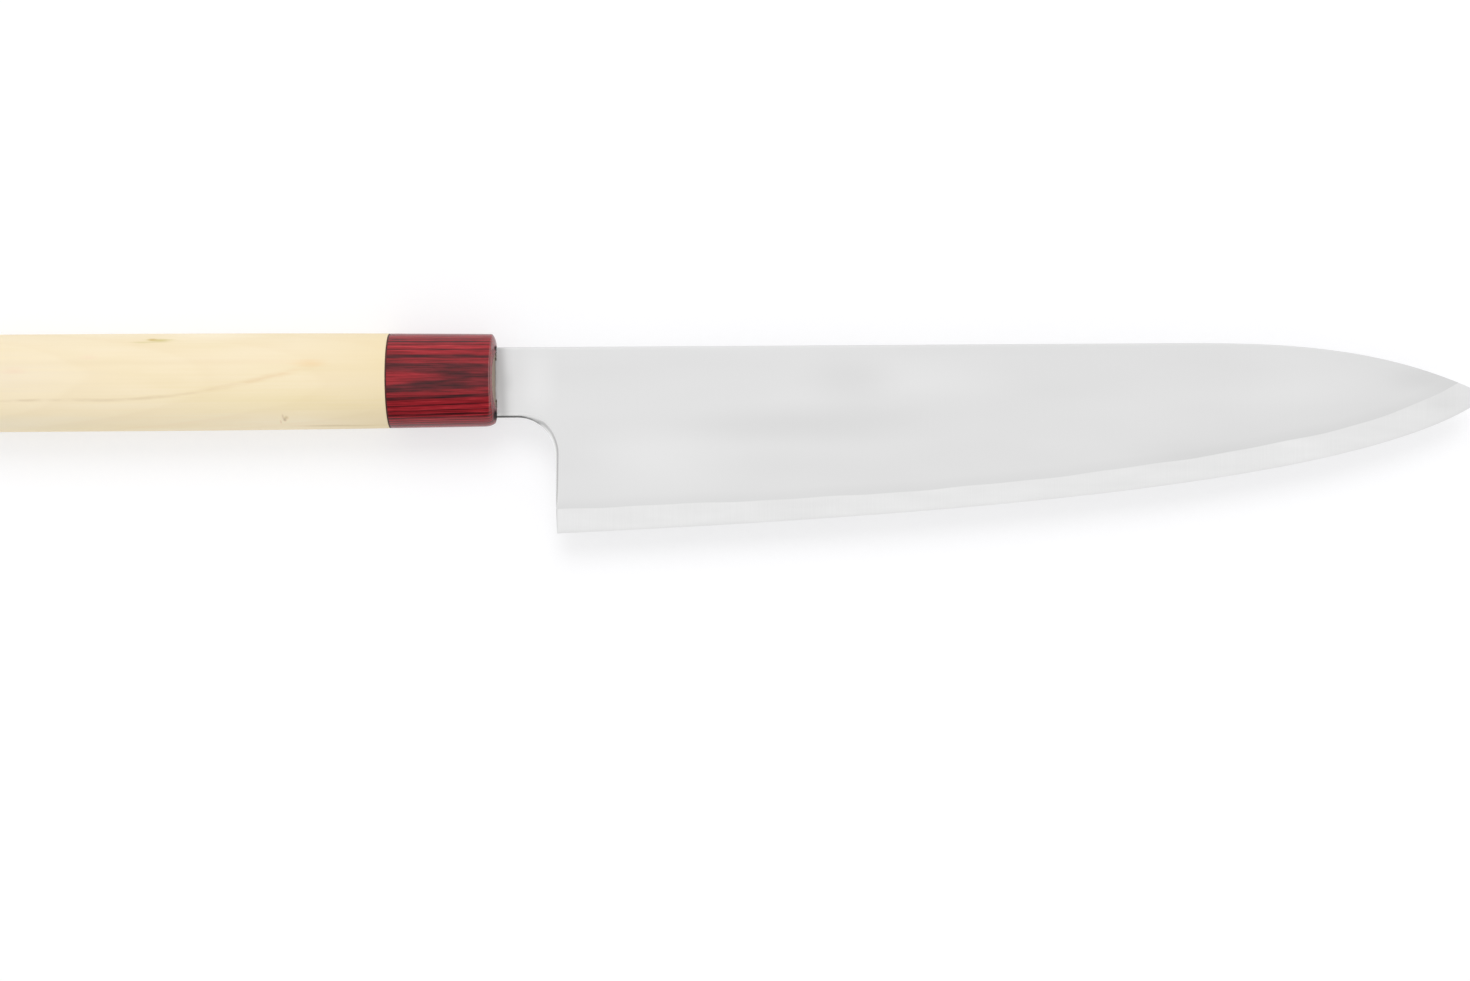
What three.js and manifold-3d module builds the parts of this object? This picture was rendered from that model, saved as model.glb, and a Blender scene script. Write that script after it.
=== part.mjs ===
// Gyuto: a Japanese chef's knife with a three-layer blade and an oval wooden handle.
// Millimetres. While the knife is put together it points along +X, with its spine towards +Y and the
// right-hand face of its blade towards +Z. X is 0 on the front face of the ferrule, and Y and Z are 0
// on the handle's axis. The finished knife lies on its left side, centred over the origin.
import * as THREE from "three";
import { mergeVertices } from "three/addons/utils/BufferGeometryUtils.js";
import Module from "manifold-3d";

const wasm = await Module();
wasm.setup();

// Blade outline, seen on its right-hand face
const BLADE_LENGTH = 240; // heel to tip
const NECK_LENGTH = 15.5; // ferrule to heel
const SPINE_RISE = 8.4; // spine above the handle's axis
const HEEL_DROP = 39.6; // heel below the handle's axis
const TIP_DROP = 5.7; // tip below the handle's axis
const NECK_DROP = 9.65; // underside of the neck below the handle's axis
const NECK_STRAIGHT = 5.5; // straight underside of the neck, ahead of the ferrule
const CHOIL_DROP = 19.3; // lower end of the choil's curve below the handle's axis
const HEEL_LEAN = 0.4; // how far the back of the heel leans towards the tip
const EDGE_ANGLE = 2.3; // degrees that the edge climbs at the heel
const EDGE_FLAT_PULL = 145; // how long the edge holds its line from the heel
const EDGE_TIP_ANGLE = 37; // degrees that the edge climbs at the tip
const EDGE_TIP_PULL = 29; // how long the edge holds its line at the tip
const SPINE_DROP_LENGTH = 87; // length of the falling front of the spine
const SPINE_FLAT_PULL = 30; // how long the spine holds its straight line
const SPINE_TIP_ANGLE = 26.5; // degrees that the spine falls at the tip
const SPINE_TIP_PULL = 32; // how long the spine holds its line at the tip

// Blade section
const STOCK_THICKNESS = 2.2; // the laminated bar, at the tang and the neck
const SPINE_TIP_THICKNESS = 0.9; // where the flat-ground sides would be at the tip
const FLAT_ANGLE = 0.54; // degrees that each side closes from the spine towards the edge
const CORE_THICKNESS = 0.72; // core layer at the heel
const CORE_TIP_THICKNESS = 0.44; // core layer at the tip
const CORE_SHOW = 6; // band of core steel bared along the edge
const LOWER_BEVEL = 9; // height of the lower, steeper stretch of the convex bevel
const UPPER_BEVEL_SLOPE = 0.6; // slope of the upper stretch against the lower one
const SHARPENED_BAND = 0.6; // the sharpened band at the very edge
const SHARPENED_THICKNESS = 0.24; // blade thickness at the top of that band
const EDGE_THICKNESS = 0.04; // what is left at the cutting edge itself
const EASE_WIDTH = 0.8; // rounding of the spine and choil, across the face
const EASE_DEPTH = 0.6; // rounding of the spine and choil, through the thickness
const WELD_LINE = 0.02; // the forge-weld line between two layers

// Tang
const TANG_LENGTH = 92; // ferrule's face to the tang's end
const TANG_HEIGHT = 10; // at the neck's shoulders
const TANG_END_HEIGHT = 6;
const SHOULDER_SEAT = 0.3; // from the neck's shoulders to the ferrule's face

// Handle
const HANDLE_LENGTH = 142; // ferrule and grip together
const FRONT_HEIGHT = 23.8; // oval at the ferrule's front
const FRONT_THICKNESS = 19;
const BUTT_HEIGHT = 25.1; // oval behind the taper, as far as the butt
const TAPER_LENGTH = 100; // from the ferrule's front to where the handle has its full height
const BUTT_ROUNDING = 2.5;
const FERRULE_LENGTH = 26.9;
const FERRULE_DOME = 1.55; // how far its front rim falls back, along the handle
const FERRULE_DOME_WIDTH = 3.6; // how far in from the top of the oval that begins
const FERRULE_WALL = 2.2; // beside the tenon, at the thin sides of the oval
const TENON_RECESS = 0.2; // tenon's end behind the ferrule's face
const GLUE_LINE = 0.4; // dark glue line behind the ferrule
const GLUE_RECESS = 0.06; // its rim below the surface of the oval
const FIT_GAP = 0.05; // between glued faces
const TANG_BED = 0.6; // resin bed all round the tang
const TANG_BED_RECESS = 0.5; // its mouth behind the ferrule's face

// Fineness of the round stretches
const OVAL_SIDES = 64;
const ROUNDING_STEPS = 4;
const CURVE_STEPS = 30;
const TAPER_STEPS = 6;
const EASE_STEPS = 3;

// Worked out from the sizes above
const TIP_X = NECK_LENGTH + BLADE_LENGTH;
const CHOIL_X = NECK_LENGTH - HEEL_LEAN;
const SEAM_X = -FERRULE_LENGTH - GLUE_LINE;
const BUTT_X = -HANDLE_LENGTH;
const OVAL_RATIO = FRONT_THICKNESS / FRONT_HEIGHT;
const TENON_RADIUS = FRONT_THICKNESS / 2 - FERRULE_WALL - FIT_GAP;
const CLEAR = HEEL_DROP + SPINE_RISE; // how far a cutting tool reaches past the knife

const radians = THREE.MathUtils.degToRad;

// A closed solid from a three.js geometry, with its shared corners merged.
function solidOf(geometry) {
  const bare = new THREE.BufferGeometry();
  bare.setAttribute("position", geometry.getAttribute("position"));
  bare.setIndex(geometry.index);
  const merged = mergeVertices(bare);
  const corners = merged.index.array;
  const kept = [];
  for (let i = 0; i < corners.length; i += 3) {
    const [a, b, c] = corners.slice(i, i + 3);
    if (a !== b && b !== c && c !== a) kept.push(a, b, c);
  }
  const mesh = new wasm.Mesh({
    numProp: 3,
    vertProperties: merged.getAttribute("position").array,
    triVerts: new Uint32Array(kept),
  });
  return new wasm.Manifold(mesh);
}

// A finished piece of the knife as a named mesh.
function piece(name, solid, color, roughness, metalness) {
  const { vertProperties, triVerts } = solid.getMesh();
  const geometry = new THREE.BufferGeometry();
  geometry.setAttribute("position", new THREE.BufferAttribute(vertProperties, 3));
  geometry.setIndex(new THREE.BufferAttribute(triVerts, 1));
  geometry.computeVertexNormals();
  const mesh = new THREE.Mesh(geometry, new THREE.MeshStandardMaterial({ color, roughness, metalness }));
  mesh.name = name;
  return mesh;
}

// A solid lofted through sections of equal corner count, closed at both ends. A section is its X and a
// ring of [y, z] corners that goes round anticlockwise as seen from +X.
function loft(sections) {
  const count = sections[0].ring.length;
  const points = sections.flatMap(({ x, ring }) => ring.flatMap(([y, z]) => [x, y, z]));
  const faces = [];
  for (let i = 0; i + 1 < sections.length; i++) {
    for (let j = 0; j < count; j++) {
      const a = i * count + j;
      const b = i * count + ((j + 1) % count);
      faces.push(a, b, a + count, b, b + count, a + count);
    }
  }
  const last = (sections.length - 1) * count;
  for (let j = 1; j + 1 < count; j++) {
    faces.push(0, j + 1, j, last, last + j, last + j + 1);
  }
  const geometry = new THREE.BufferGeometry();
  geometry.setAttribute("position", new THREE.Float32BufferAttribute(points, 3));
  geometry.setIndex(faces);
  return solidOf(geometry);
}

// A flat prism of an outline in the X-Y plane, centred on the blade's middle plane.
function slab(shape, thickness) {
  const settings = { depth: thickness, bevelEnabled: false, curveSegments: CURVE_STEPS };
  return solidOf(new THREE.ExtrudeGeometry(shape, settings).translate(0, 0, -thickness / 2));
}

// A round solid turned on the handle's axis. The profile is [x, radius] points from back to front.
function turned(profile) {
  const points = profile.map(([x, radius]) => new THREE.Vector2(radius, x));
  return new THREE.LatheGeometry(points, OVAL_SIDES).rotateZ(-Math.PI / 2);
}

// The same solid squeezed to the handle's oval, where the radius is half the oval's height.
function oval(profile) {
  return solidOf(turned(profile).scale(1, 1, OVAL_RATIO));
}

// A plain round rod on the handle's axis.
function rod(back, front, radius) {
  return solidOf(turned([[back, 0], [back, radius], [front, radius], [front, 0]]));
}

// A quarter circle of profile points about a centre, between two angles in degrees. A second radius,
// across the axis, makes it a quarter ellipse.
function rounding(x, y, radius, from, to, across = radius) {
  return Array.from({ length: ROUNDING_STEPS + 1 }, (_, i) => {
    const angle = radians(from + ((to - from) * i) / ROUNDING_STEPS);
    return [x + radius * Math.cos(angle), y + across * Math.sin(angle)];
  });
}

// The point at a reach from another, in a direction given in degrees above +X.
function ahead(point, degrees, reach) {
  const angle = radians(degrees);
  return new THREE.Vector2(point.x + reach * Math.cos(angle), point.y + reach * Math.sin(angle));
}

// Blade

const heel = new THREE.Vector2(NECK_LENGTH, -HEEL_DROP);
const tip = new THREE.Vector2(TIP_X, -TIP_DROP);
const edge = new THREE.CubicBezierCurve(
  heel,
  ahead(heel, EDGE_ANGLE, EDGE_FLAT_PULL),
  ahead(tip, EDGE_TIP_ANGLE, -EDGE_TIP_PULL),
  tip,
);

// Half the tang's height at X: it tapers from the neck's shoulders to its end.
function tangHalf(x) {
  const share = (SHOULDER_SEAT - x) / (SHOULDER_SEAT + TANG_LENGTH);
  return THREE.MathUtils.lerp(TANG_HEIGHT, TANG_END_HEIGHT, share) / 2;
}

// The tang's outline with its rounded end, grown all round by a margin, and open at a mouth.
function tangOutline(margin, mouth) {
  const end = -TANG_LENGTH - margin;
  const turn = end + tangHalf(-TANG_LENGTH) + margin;
  const half = (x) => tangHalf(x) + margin;
  const shape = new THREE.Shape();
  shape.moveTo(mouth, half(mouth));
  shape.lineTo(turn, half(turn));
  shape.quadraticCurveTo(end, half(end), end, 0);
  shape.quadraticCurveTo(end, -half(end), turn, -half(turn));
  shape.lineTo(mouth, -half(mouth));
  return shape;
}

// The blank as it is cut from the bar: tang, shoulder, neck, choil, heel, edge, tip and spine.
function blankOutline() {
  const quarter = 0.5523; // pull that makes a cubic curve a quarter of an ellipse
  const choilWidth = (CHOIL_X - NECK_STRAIGHT) * quarter;
  const choilHeight = (CHOIL_DROP - NECK_DROP) * quarter;
  const spineBend = new THREE.Vector2(TIP_X - SPINE_DROP_LENGTH, SPINE_RISE);
  const spinePull = ahead(spineBend, 0, SPINE_FLAT_PULL);
  const tipPull = ahead(tip, -SPINE_TIP_ANGLE, -SPINE_TIP_PULL);
  const shape = tangOutline(0, SHOULDER_SEAT);
  shape.lineTo(SHOULDER_SEAT, -NECK_DROP);
  shape.lineTo(NECK_STRAIGHT, -NECK_DROP);
  shape.bezierCurveTo(
    NECK_STRAIGHT + choilWidth,
    -NECK_DROP,
    CHOIL_X,
    -CHOIL_DROP + choilHeight,
    CHOIL_X,
    -CHOIL_DROP,
  );
  shape.lineTo(heel.x, heel.y);
  shape.bezierCurveTo(edge.v1.x, edge.v1.y, edge.v2.x, edge.v2.y, tip.x, tip.y);
  shape.bezierCurveTo(tipPull.x, tipPull.y, spinePull.x, spinePull.y, spineBend.x, spineBend.y);
  shape.lineTo(SHOULDER_SEAT, SPINE_RISE);
  return shape;
}

// The bar cut to the blank's outline, with its rims eased on both faces.
function easedBlank() {
  const straight = STOCK_THICKNESS - 2 * EASE_DEPTH;
  const geometry = new THREE.ExtrudeGeometry(blankOutline(), {
    depth: straight,
    bevelThickness: EASE_DEPTH,
    bevelSize: EASE_WIDTH,
    bevelOffset: -EASE_WIDTH,
    bevelSegments: EASE_STEPS,
    curveSegments: CURVE_STEPS,
  });
  return solidOf(geometry.translate(0, 0, -straight / 2));
}

// What is ground off one flat side: a block on a plane that thins the blade from spine to edge and from
// heel to tip. Side is 1 for the right-hand face and -1 for the left.
function flatGrind(side) {
  const reach = 2 * (TIP_X - BUTT_X);
  const distalTaper = (STOCK_THICKNESS - SPINE_TIP_THICKNESS) / 2 / BLADE_LENGTH;
  const out = new THREE.Vector3(distalTaper, -Math.tan(radians(FLAT_ANGLE)), side).normalize();
  const turn = new THREE.Quaternion().setFromUnitVectors(new THREE.Vector3(0, 0, 1), out);
  const block = new THREE.BoxGeometry(reach, reach, CLEAR).translate(0, 0, CLEAR / 2);
  block.applyQuaternion(turn).translate(NECK_LENGTH, SPINE_RISE, (side * STOCK_THICKNESS) / 2);
  return solidOf(block);
}

// Half the core layer's thickness at X.
function coreHalf(x) {
  return THREE.MathUtils.lerp(CORE_THICKNESS, CORE_TIP_THICKNESS, (x - NECK_LENGTH) / BLADE_LENGTH) / 2;
}

// The space that the edge's two convex bevels leave, as a wedge along the edge. Its lower slope brings
// the blade to the core's thickness at the top of the bared band, so the layers part there.
function edgeWedge() {
  const section = ({ x, y }, slope) => {
    const stretch = Math.hypot(1, slope); // from square to the edge, to upright
    const band = SHARPENED_THICKNESS / 2;
    const apex = (SHARPENED_BAND * EDGE_THICKNESS) / (SHARPENED_THICKNESS - EDGE_THICKNESS);
    const lower = (coreHalf(x) - band) / (CORE_SHOW - SHARPENED_BAND);
    const shoulder = band + lower * (LOWER_BEVEL - SHARPENED_BAND);
    const top = LOWER_BEVEL + 2 * CLEAR;
    const side = [
      [y + SHARPENED_BAND * stretch, band],
      [y + LOWER_BEVEL * stretch, shoulder],
      [y + top * stretch, shoulder + lower * UPPER_BEVEL_SLOPE * (top - LOWER_BEVEL)],
    ];
    const mirrored = side.map(([up, out]) => [up, -out]);
    return { x, ring: [[y - apex * stretch, 0], ...mirrored, ...side.reverse()] };
  };
  const sections = edge.getPoints(CURVE_STEPS).map((point, i) => {
    const tangent = edge.getTangent(i / CURVE_STEPS);
    return section(point, tangent.y / tangent.x);
  });
  const behindHeel = ahead(heel, EDGE_ANGLE, -TANG_LENGTH - CLEAR);
  const beyondTip = ahead(tip, EDGE_TIP_ANGLE, CLEAR);
  return loft([
    section(behindHeel, Math.tan(radians(EDGE_ANGLE))),
    ...sections,
    section(beyondTip, Math.tan(radians(EDGE_TIP_ANGLE))),
  ]);
}

// A layer of the bar between two heights, each a function of X.
function layer(low, high) {
  const wide = 2 * CLEAR;
  return loft(
    [-TANG_LENGTH - CLEAR, TIP_X + CLEAR].map((x) => ({
      x,
      ring: [[-wide, low(x)], [wide, low(x)], [wide, high(x)], [-wide, high(x)]],
    })),
  );
}

const blade = easedBlank().subtract(flatGrind(1)).subtract(flatGrind(-1)).intersect(edgeWedge());
const weldFace = (x) => coreHalf(x) + WELD_LINE;
const coreSteel = blade.intersect(layer((x) => -coreHalf(x), coreHalf));
const rightCladding = blade.subtract(layer(() => -STOCK_THICKNESS, weldFace));
const leftCladding = blade.subtract(layer((x) => -weldFace(x), () => STOCK_THICKNESS));

// Handle

// Half the oval's height at X: it swells along a parabola from the ferrule's front, runs level where the
// taper ends, and stays so to the butt.
function ovalHalf(x) {
  const left = Math.max(1 + x / TAPER_LENGTH, 0); // share of the taper still ahead
  return THREE.MathUtils.lerp(BUTT_HEIGHT, FRONT_HEIGHT, left * left) / 2;
}

// The slot that is burnt and filed for the tang and its bed.
const tangSlot = slab(
  tangOutline(TANG_BED + FIT_GAP, SHOULDER_SEAT),
  STOCK_THICKNESS + 2 * (TANG_BED + FIT_GAP),
);

function handleBody() {
  const buttTurn = BUTT_X + BUTT_ROUNDING;
  const side = Array.from({ length: TAPER_STEPS }, (_, i) => {
    const x = THREE.MathUtils.lerp(buttTurn, SEAM_X, (i + 1) / TAPER_STEPS);
    return [x, ovalHalf(x)];
  });
  const grip = oval([
    [BUTT_X, 0],
    ...rounding(buttTurn, ovalHalf(buttTurn) - BUTT_ROUNDING, BUTT_ROUNDING, 180, 90),
    ...side,
    [SEAM_X, 0],
  ]);
  const tenon = rod(SEAM_X - FERRULE_LENGTH, -TENON_RECESS, TENON_RADIUS);
  return grip.add(tenon).subtract(tangSlot);
}

function ferrule() {
  const rimTurn = -FERRULE_DOME;
  const flatHalf = ovalHalf(rimTurn) - FERRULE_DOME_WIDTH;
  const collar = oval([
    [-FERRULE_LENGTH, 0],
    [-FERRULE_LENGTH, ovalHalf(-FERRULE_LENGTH)],
    ...rounding(rimTurn, flatHalf, FERRULE_DOME, 90, 0, FERRULE_DOME_WIDTH),
    [0, 0],
  ]);
  return collar.subtract(rod(-2 * FERRULE_LENGTH, CLEAR, TENON_RADIUS + FIT_GAP));
}

function ferruleGlueLine() {
  const back = SEAM_X + FIT_GAP;
  const front = -FERRULE_LENGTH - FIT_GAP;
  const film = oval([
    [back, 0],
    [back, ovalHalf(back) - GLUE_RECESS],
    [front, ovalHalf(front) - GLUE_RECESS],
    [front, 0],
  ]);
  return film.subtract(rod(2 * SEAM_X, CLEAR, TENON_RADIUS + FIT_GAP));
}

// The resin bed is a sleeve round the tang, open at its mouth.
function tangBedding() {
  const outside = slab(tangOutline(TANG_BED, -TANG_BED_RECESS), STOCK_THICKNESS + 2 * TANG_BED);
  const inside = slab(tangOutline(FIT_GAP, SHOULDER_SEAT), STOCK_THICKNESS + 2 * FIT_GAP);
  return outside.subtract(inside);
}

const knife = new THREE.Group();
knife.add(
  piece("core_steel", coreSteel, "#d9dadb", 0.32, 1),
  piece("right_cladding", rightCladding, "#c9cacc", 0.38, 1),
  piece("left_cladding", leftCladding, "#c9cacc", 0.38, 1),
  piece("tang_bedding", tangBedding(), "#6d4a32", 0.6, 0),
  piece("ferrule", ferrule(), "#6e1a20", 0.35, 0),
  piece("ferrule_glue_line", ferruleGlueLine(), "#2a1512", 0.5, 0),
  piece("handle_body", handleBody(), "#e2cfae", 0.6, 0),
);

const box = new THREE.Box3().setFromObject(knife);
const middle = box.getCenter(new THREE.Vector3());
knife.position.set(-middle.x, -middle.y, -box.min.z);

const part = new THREE.Group();
part.add(knife);
export default part;
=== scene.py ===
import bmesh
import bpy
import numpy as np
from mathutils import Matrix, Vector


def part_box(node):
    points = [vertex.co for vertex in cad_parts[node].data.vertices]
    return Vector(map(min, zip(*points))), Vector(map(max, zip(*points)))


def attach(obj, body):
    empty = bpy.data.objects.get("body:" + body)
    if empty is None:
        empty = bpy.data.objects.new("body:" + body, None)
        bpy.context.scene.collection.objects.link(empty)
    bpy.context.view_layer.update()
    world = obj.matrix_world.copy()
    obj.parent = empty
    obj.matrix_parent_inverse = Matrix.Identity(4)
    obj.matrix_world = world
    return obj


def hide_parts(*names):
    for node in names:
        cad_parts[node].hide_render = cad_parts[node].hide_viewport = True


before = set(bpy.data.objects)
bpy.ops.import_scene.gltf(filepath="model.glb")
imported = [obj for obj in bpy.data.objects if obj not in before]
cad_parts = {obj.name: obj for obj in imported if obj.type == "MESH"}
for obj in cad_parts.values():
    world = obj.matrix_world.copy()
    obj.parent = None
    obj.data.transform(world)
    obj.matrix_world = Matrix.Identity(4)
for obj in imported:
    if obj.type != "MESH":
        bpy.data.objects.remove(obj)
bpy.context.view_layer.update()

# Core steel
# The hard carbon-steel layer in the middle of the blade. It is forged between two softer layers, runs back
# as the middle of the tang, and is ground bare along the cutting edge, where it shows as a brighter band.
# As in the whole file, sizes are in millimetres, from the ferrule's face on the handle's axis.
MM = 0.001
FERRULE_FACE_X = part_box("ferrule")[1].x
AXIS_Y = sum(corner.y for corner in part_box("handle_body")) / 2
AXIS_Z = sum(corner.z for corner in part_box("handle_body")) / 2
TIP_X = (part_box("core_steel")[1].x - FERRULE_FACE_X) / MM
HEEL_DROP = (AXIS_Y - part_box("core_steel")[0].y) / MM
SPINE_RISE = (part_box("core_steel")[1].y - AXIS_Y) / MM
TANG_END_X = (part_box("core_steel")[0].x - FERRULE_FACE_X) / MM
BLADE_LENGTH = 240.0
HEEL_X = TIP_X - BLADE_LENGTH
TIP_DROP = 5.7
EDGE_ANGLE = 2.3
EDGE_FLAT_PULL = 145.0
EDGE_TIP_ANGLE = 37.0
EDGE_TIP_PULL = 29.0
SPINE_DROP_LENGTH = 87.0
SPINE_FLAT_PULL = 30.0
SPINE_TIP_ANGLE = 26.5
SPINE_TIP_PULL = 32.0
SHOULDER_X = 0.3
NECK_DROP = 9.65
NECK_STRAIGHT = 5.5
HEEL_LEAN = 0.4
CHOIL_X = HEEL_X - HEEL_LEAN
CHOIL_DROP = 19.3
TANG_HALF = 5.0
TANG_END_HALF = 3.0
STOCK_HALF = 1.1
SPINE_TIP_HALF = 0.45
FLAT_ANGLE = 0.54
CORE_HALF = 0.36
CORE_TIP_HALF = 0.22
CORE_SHOW = 5.8
LOWER_BEVEL = 9.0
UPPER_BEVEL_SLOPE = 0.6
SHARPENED_BAND = 0.6
SHARPENED_HALF = 0.1
EDGE_HALF = 0.02
GRIND_BLEND = 0.02
PAST_HEEL = 150.0
PAST_TIP = 20.0
LONG_WAVE = 0.45
LONG_WAVE_START = 12.0
LONG_WAVE_RADIAN = 32.0
SHORT_WAVES = ((0.1, 6.1, 0.0), (0.06, 2.7, 1.0))
TIP_SWELL = 1.2
TIP_SWELL_START = 205.0
TIP_SWELL_RUN = 45.0
WELD_TURN = 0.03
OVER_CHOIL_X = 19.0
OVER_HEEL_X = 32.0
HEEL_EASE = 0.3
HEEL_EASE_LEAST = 0.35
WELD_STEP = 0.03
CORE_LEAST_HALF = 0.01


def ahead(point, degrees, reach):
    """The point at a reach from another, in a direction given in degrees above +X."""
    angle = np.radians(degrees)
    return np.asarray(point, float) + reach * np.array([np.cos(angle), np.sin(angle)])


def bezier(start, pull_a, pull_b, end, t):
    """Cubic curve: the four points weighted by (1-t)^3, 3(1-t)^2 t, 3(1-t) t^2 and t^3."""
    t = np.asarray(t, float)[:, None]
    start, pull_a, pull_b, end = (np.asarray(p, float) for p in (start, pull_a, pull_b, end))
    return (1 - t) ** 3 * start + 3 * (1 - t) ** 2 * t * pull_a + 3 * (1 - t) * t**2 * pull_b + t**3 * end


HEEL = np.array([HEEL_X, -HEEL_DROP])
TIP = np.array([TIP_X, -TIP_DROP])
SPINE_BEND = np.array([TIP_X - SPINE_DROP_LENGTH, SPINE_RISE])


def edge_at(t):
    """The cutting edge from heel to tip, one cubic curve."""
    pull_a = ahead(HEEL, EDGE_ANGLE, EDGE_FLAT_PULL)
    pull_b = ahead(TIP, EDGE_TIP_ANGLE, -EDGE_TIP_PULL)
    return bezier(HEEL, pull_a, pull_b, TIP, t)


# The grind is measured from the edge, so its line is carried on past heel and tip.
EDGE_LINE = edge_at(np.linspace(0, 1, 2001))
BEHIND_HEEL = ahead(HEEL, EDGE_ANGLE, -PAST_HEEL)
EDGE_LINE = np.vstack([BEHIND_HEEL, EDGE_LINE, ahead(TIP, EDGE_TIP_ANGLE, PAST_TIP)])
SPINE_LINE = bezier(
    SPINE_BEND,
    ahead(SPINE_BEND, 0, SPINE_FLAT_PULL),
    ahead(TIP, -SPINE_TIP_ANGLE, -SPINE_TIP_PULL),
    TIP,
    np.linspace(0, 1, 1001),
)
SPINE_LINE = np.vstack([[TANG_END_X, SPINE_RISE], SPINE_LINE])


def spine_at(x):
    """Points of the spine at the given X."""
    return np.stack([x, np.interp(x, SPINE_LINE[:, 0], SPINE_LINE[:, 1])], -1)


def half_thickness(x, y):
    """Half the blade's thickness: the least of the flat side, the two slopes of the convex bevel and the
    sharpened band. The first three run into each other softly, as a soft minimum, and the last is a crisp
    line."""
    slope = np.gradient(EDGE_LINE[:, 1], EDGE_LINE[:, 0])
    lean = np.hypot(1, np.interp(x, EDGE_LINE[:, 0], slope))
    from_edge = np.maximum((y - np.interp(x, EDGE_LINE[:, 0], EDGE_LINE[:, 1])) / lean, 0)
    share = (x - HEEL_X) / BLADE_LENGTH
    closing = np.tan(np.radians(FLAT_ANGLE)) * (SPINE_RISE - y)
    flat = STOCK_HALF + (SPINE_TIP_HALF - STOCK_HALF) * share - closing
    rise = (core_half(x) - SHARPENED_HALF) / (CORE_SHOW - SHARPENED_BAND)
    lower = SHARPENED_HALF + rise * (from_edge - SHARPENED_BAND)
    shoulder = SHARPENED_HALF + rise * (LOWER_BEVEL - SHARPENED_BAND)
    upper = shoulder + rise * UPPER_BEVEL_SLOPE * (from_edge - LOWER_BEVEL)
    stock = np.full_like(flat, STOCK_HALF)
    sides = np.stack([np.minimum(flat, stock), lower, upper])
    ground = -GRIND_BLEND * np.log(np.exp(-sides / GRIND_BLEND).sum(0))
    sharpened = EDGE_HALF + (SHARPENED_HALF - EDGE_HALF) / SHARPENED_BAND * from_edge
    return np.minimum(ground, sharpened)


def core_half(x):
    """Half the core layer's thickness, in a straight line from heel to tip."""
    return CORE_HALF + (CORE_TIP_HALF - CORE_HALF) * (x - HEEL_X) / BLADE_LENGTH


def weld_line_at(t):
    """Where core and cladding part on the ground face: the edge moved by the width of the bared band, first
    along the heel's back wall and soon square to the edge. The band swells and narrows in a long wave and
    two short ones, and widens with the square of the way towards the tip."""
    point = edge_at(t)
    along = edge_at(t + 1e-4) - edge_at(t - 1e-4)
    square = np.stack([-along[:, 1], along[:, 0]], -1) / np.linalg.norm(along, axis=1, keepdims=True)
    wall = np.array([CHOIL_X - HEEL_X, HEEL_DROP - CHOIL_DROP])
    wall /= np.linalg.norm(wall)
    x = point[:, 0]
    wave = LONG_WAVE * np.cos((x - LONG_WAVE_START) / LONG_WAVE_RADIAN)
    for height, radian, phase in SHORT_WAVES:
        wave = wave + height * np.sin(x / radian + phase)
    swell = TIP_SWELL * np.clip((x - TIP_SWELL_START) / TIP_SWELL_RUN, 0, 1) ** 2
    wide = CORE_SHOW + wave + swell
    turned = np.clip(t / WELD_TURN, 0, 1)
    return point + wide[:, None] * (wall + (square - wall) * turned[:, None])


def rear_x(y):
    """X of the heel's back wall."""
    return CHOIL_X + (HEEL_X - CHOIL_X) * (-CHOIL_DROP - y) / (HEEL_DROP - CHOIL_DROP)


def blank_sides():
    """The two sides of the blank behind the edge, from the tang's end to the foot of the choil, as matched
    rows of points: the upper row runs along tang, shoulder and spine, the lower along tang, neck and choil.
    The tang's end is a parabola and the choil a quarter of an ellipse."""
    turn = TANG_END_X + TANG_END_HALF
    t = np.linspace(0, 1, 9)[:-1]
    end_x = TANG_END_X + TANG_END_HALF * t**2
    end_y = TANG_END_HALF * (1 - (1 - t) ** 2)
    tang_x = np.linspace(turn, SHOULDER_X, 15)[:-1]
    tang_y = np.interp(tang_x, [turn, SHOULDER_X], [TANG_END_HALF, TANG_HALF])
    shoulder = np.linspace(0, 1, 4)[:-1]
    neck = np.linspace(SHOULDER_X, NECK_STRAIGHT, 8)[:-1]
    choil = np.linspace(0, np.pi / 2, 40)
    shoulder_up = TANG_HALF + (SPINE_RISE - TANG_HALF) * shoulder
    shoulder_down = TANG_HALF + (NECK_DROP - TANG_HALF) * shoulder
    choil_x = NECK_STRAIGHT + (CHOIL_X - NECK_STRAIGHT) * np.sin(choil)
    choil_y = CHOIL_DROP - (CHOIL_DROP - NECK_DROP) * np.cos(choil)
    over_choil = np.linspace(NECK_STRAIGHT, OVER_CHOIL_X, len(choil))
    spine_y = np.full(len(neck) + len(choil), SPINE_RISE)
    back_x = np.concatenate([end_x, tang_x, np.full_like(shoulder, SHOULDER_X), neck])
    upper_x = np.concatenate([back_x, over_choil])
    upper_y = np.concatenate([end_y, tang_y, shoulder_up, spine_y])
    lower_x = np.concatenate([back_x, choil_x])
    lower_y = np.concatenate([end_y, tang_y, shoulder_down, np.full_like(neck, NECK_DROP), choil_y])
    return np.stack([upper_x, upper_y], -1), np.stack([lower_x, -lower_y], -1)


def place(x, y, z):
    """Points given in millimetres from the ferrule's face on the handle's axis, turned into metres of the
    scene."""
    return np.stack([FERRULE_FACE_X + x * MM, AXIS_Y + y * MM, AXIS_Z + z * MM], -1)


# Faces that meet at more than this angle keep a crisp edge. Corners closer than the next size become one,
# and faces narrower than the last one go.
CREASE_ANGLE = 35.0
MERGE_WITHIN = 0.001
SLIVER = 0.0005


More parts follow.
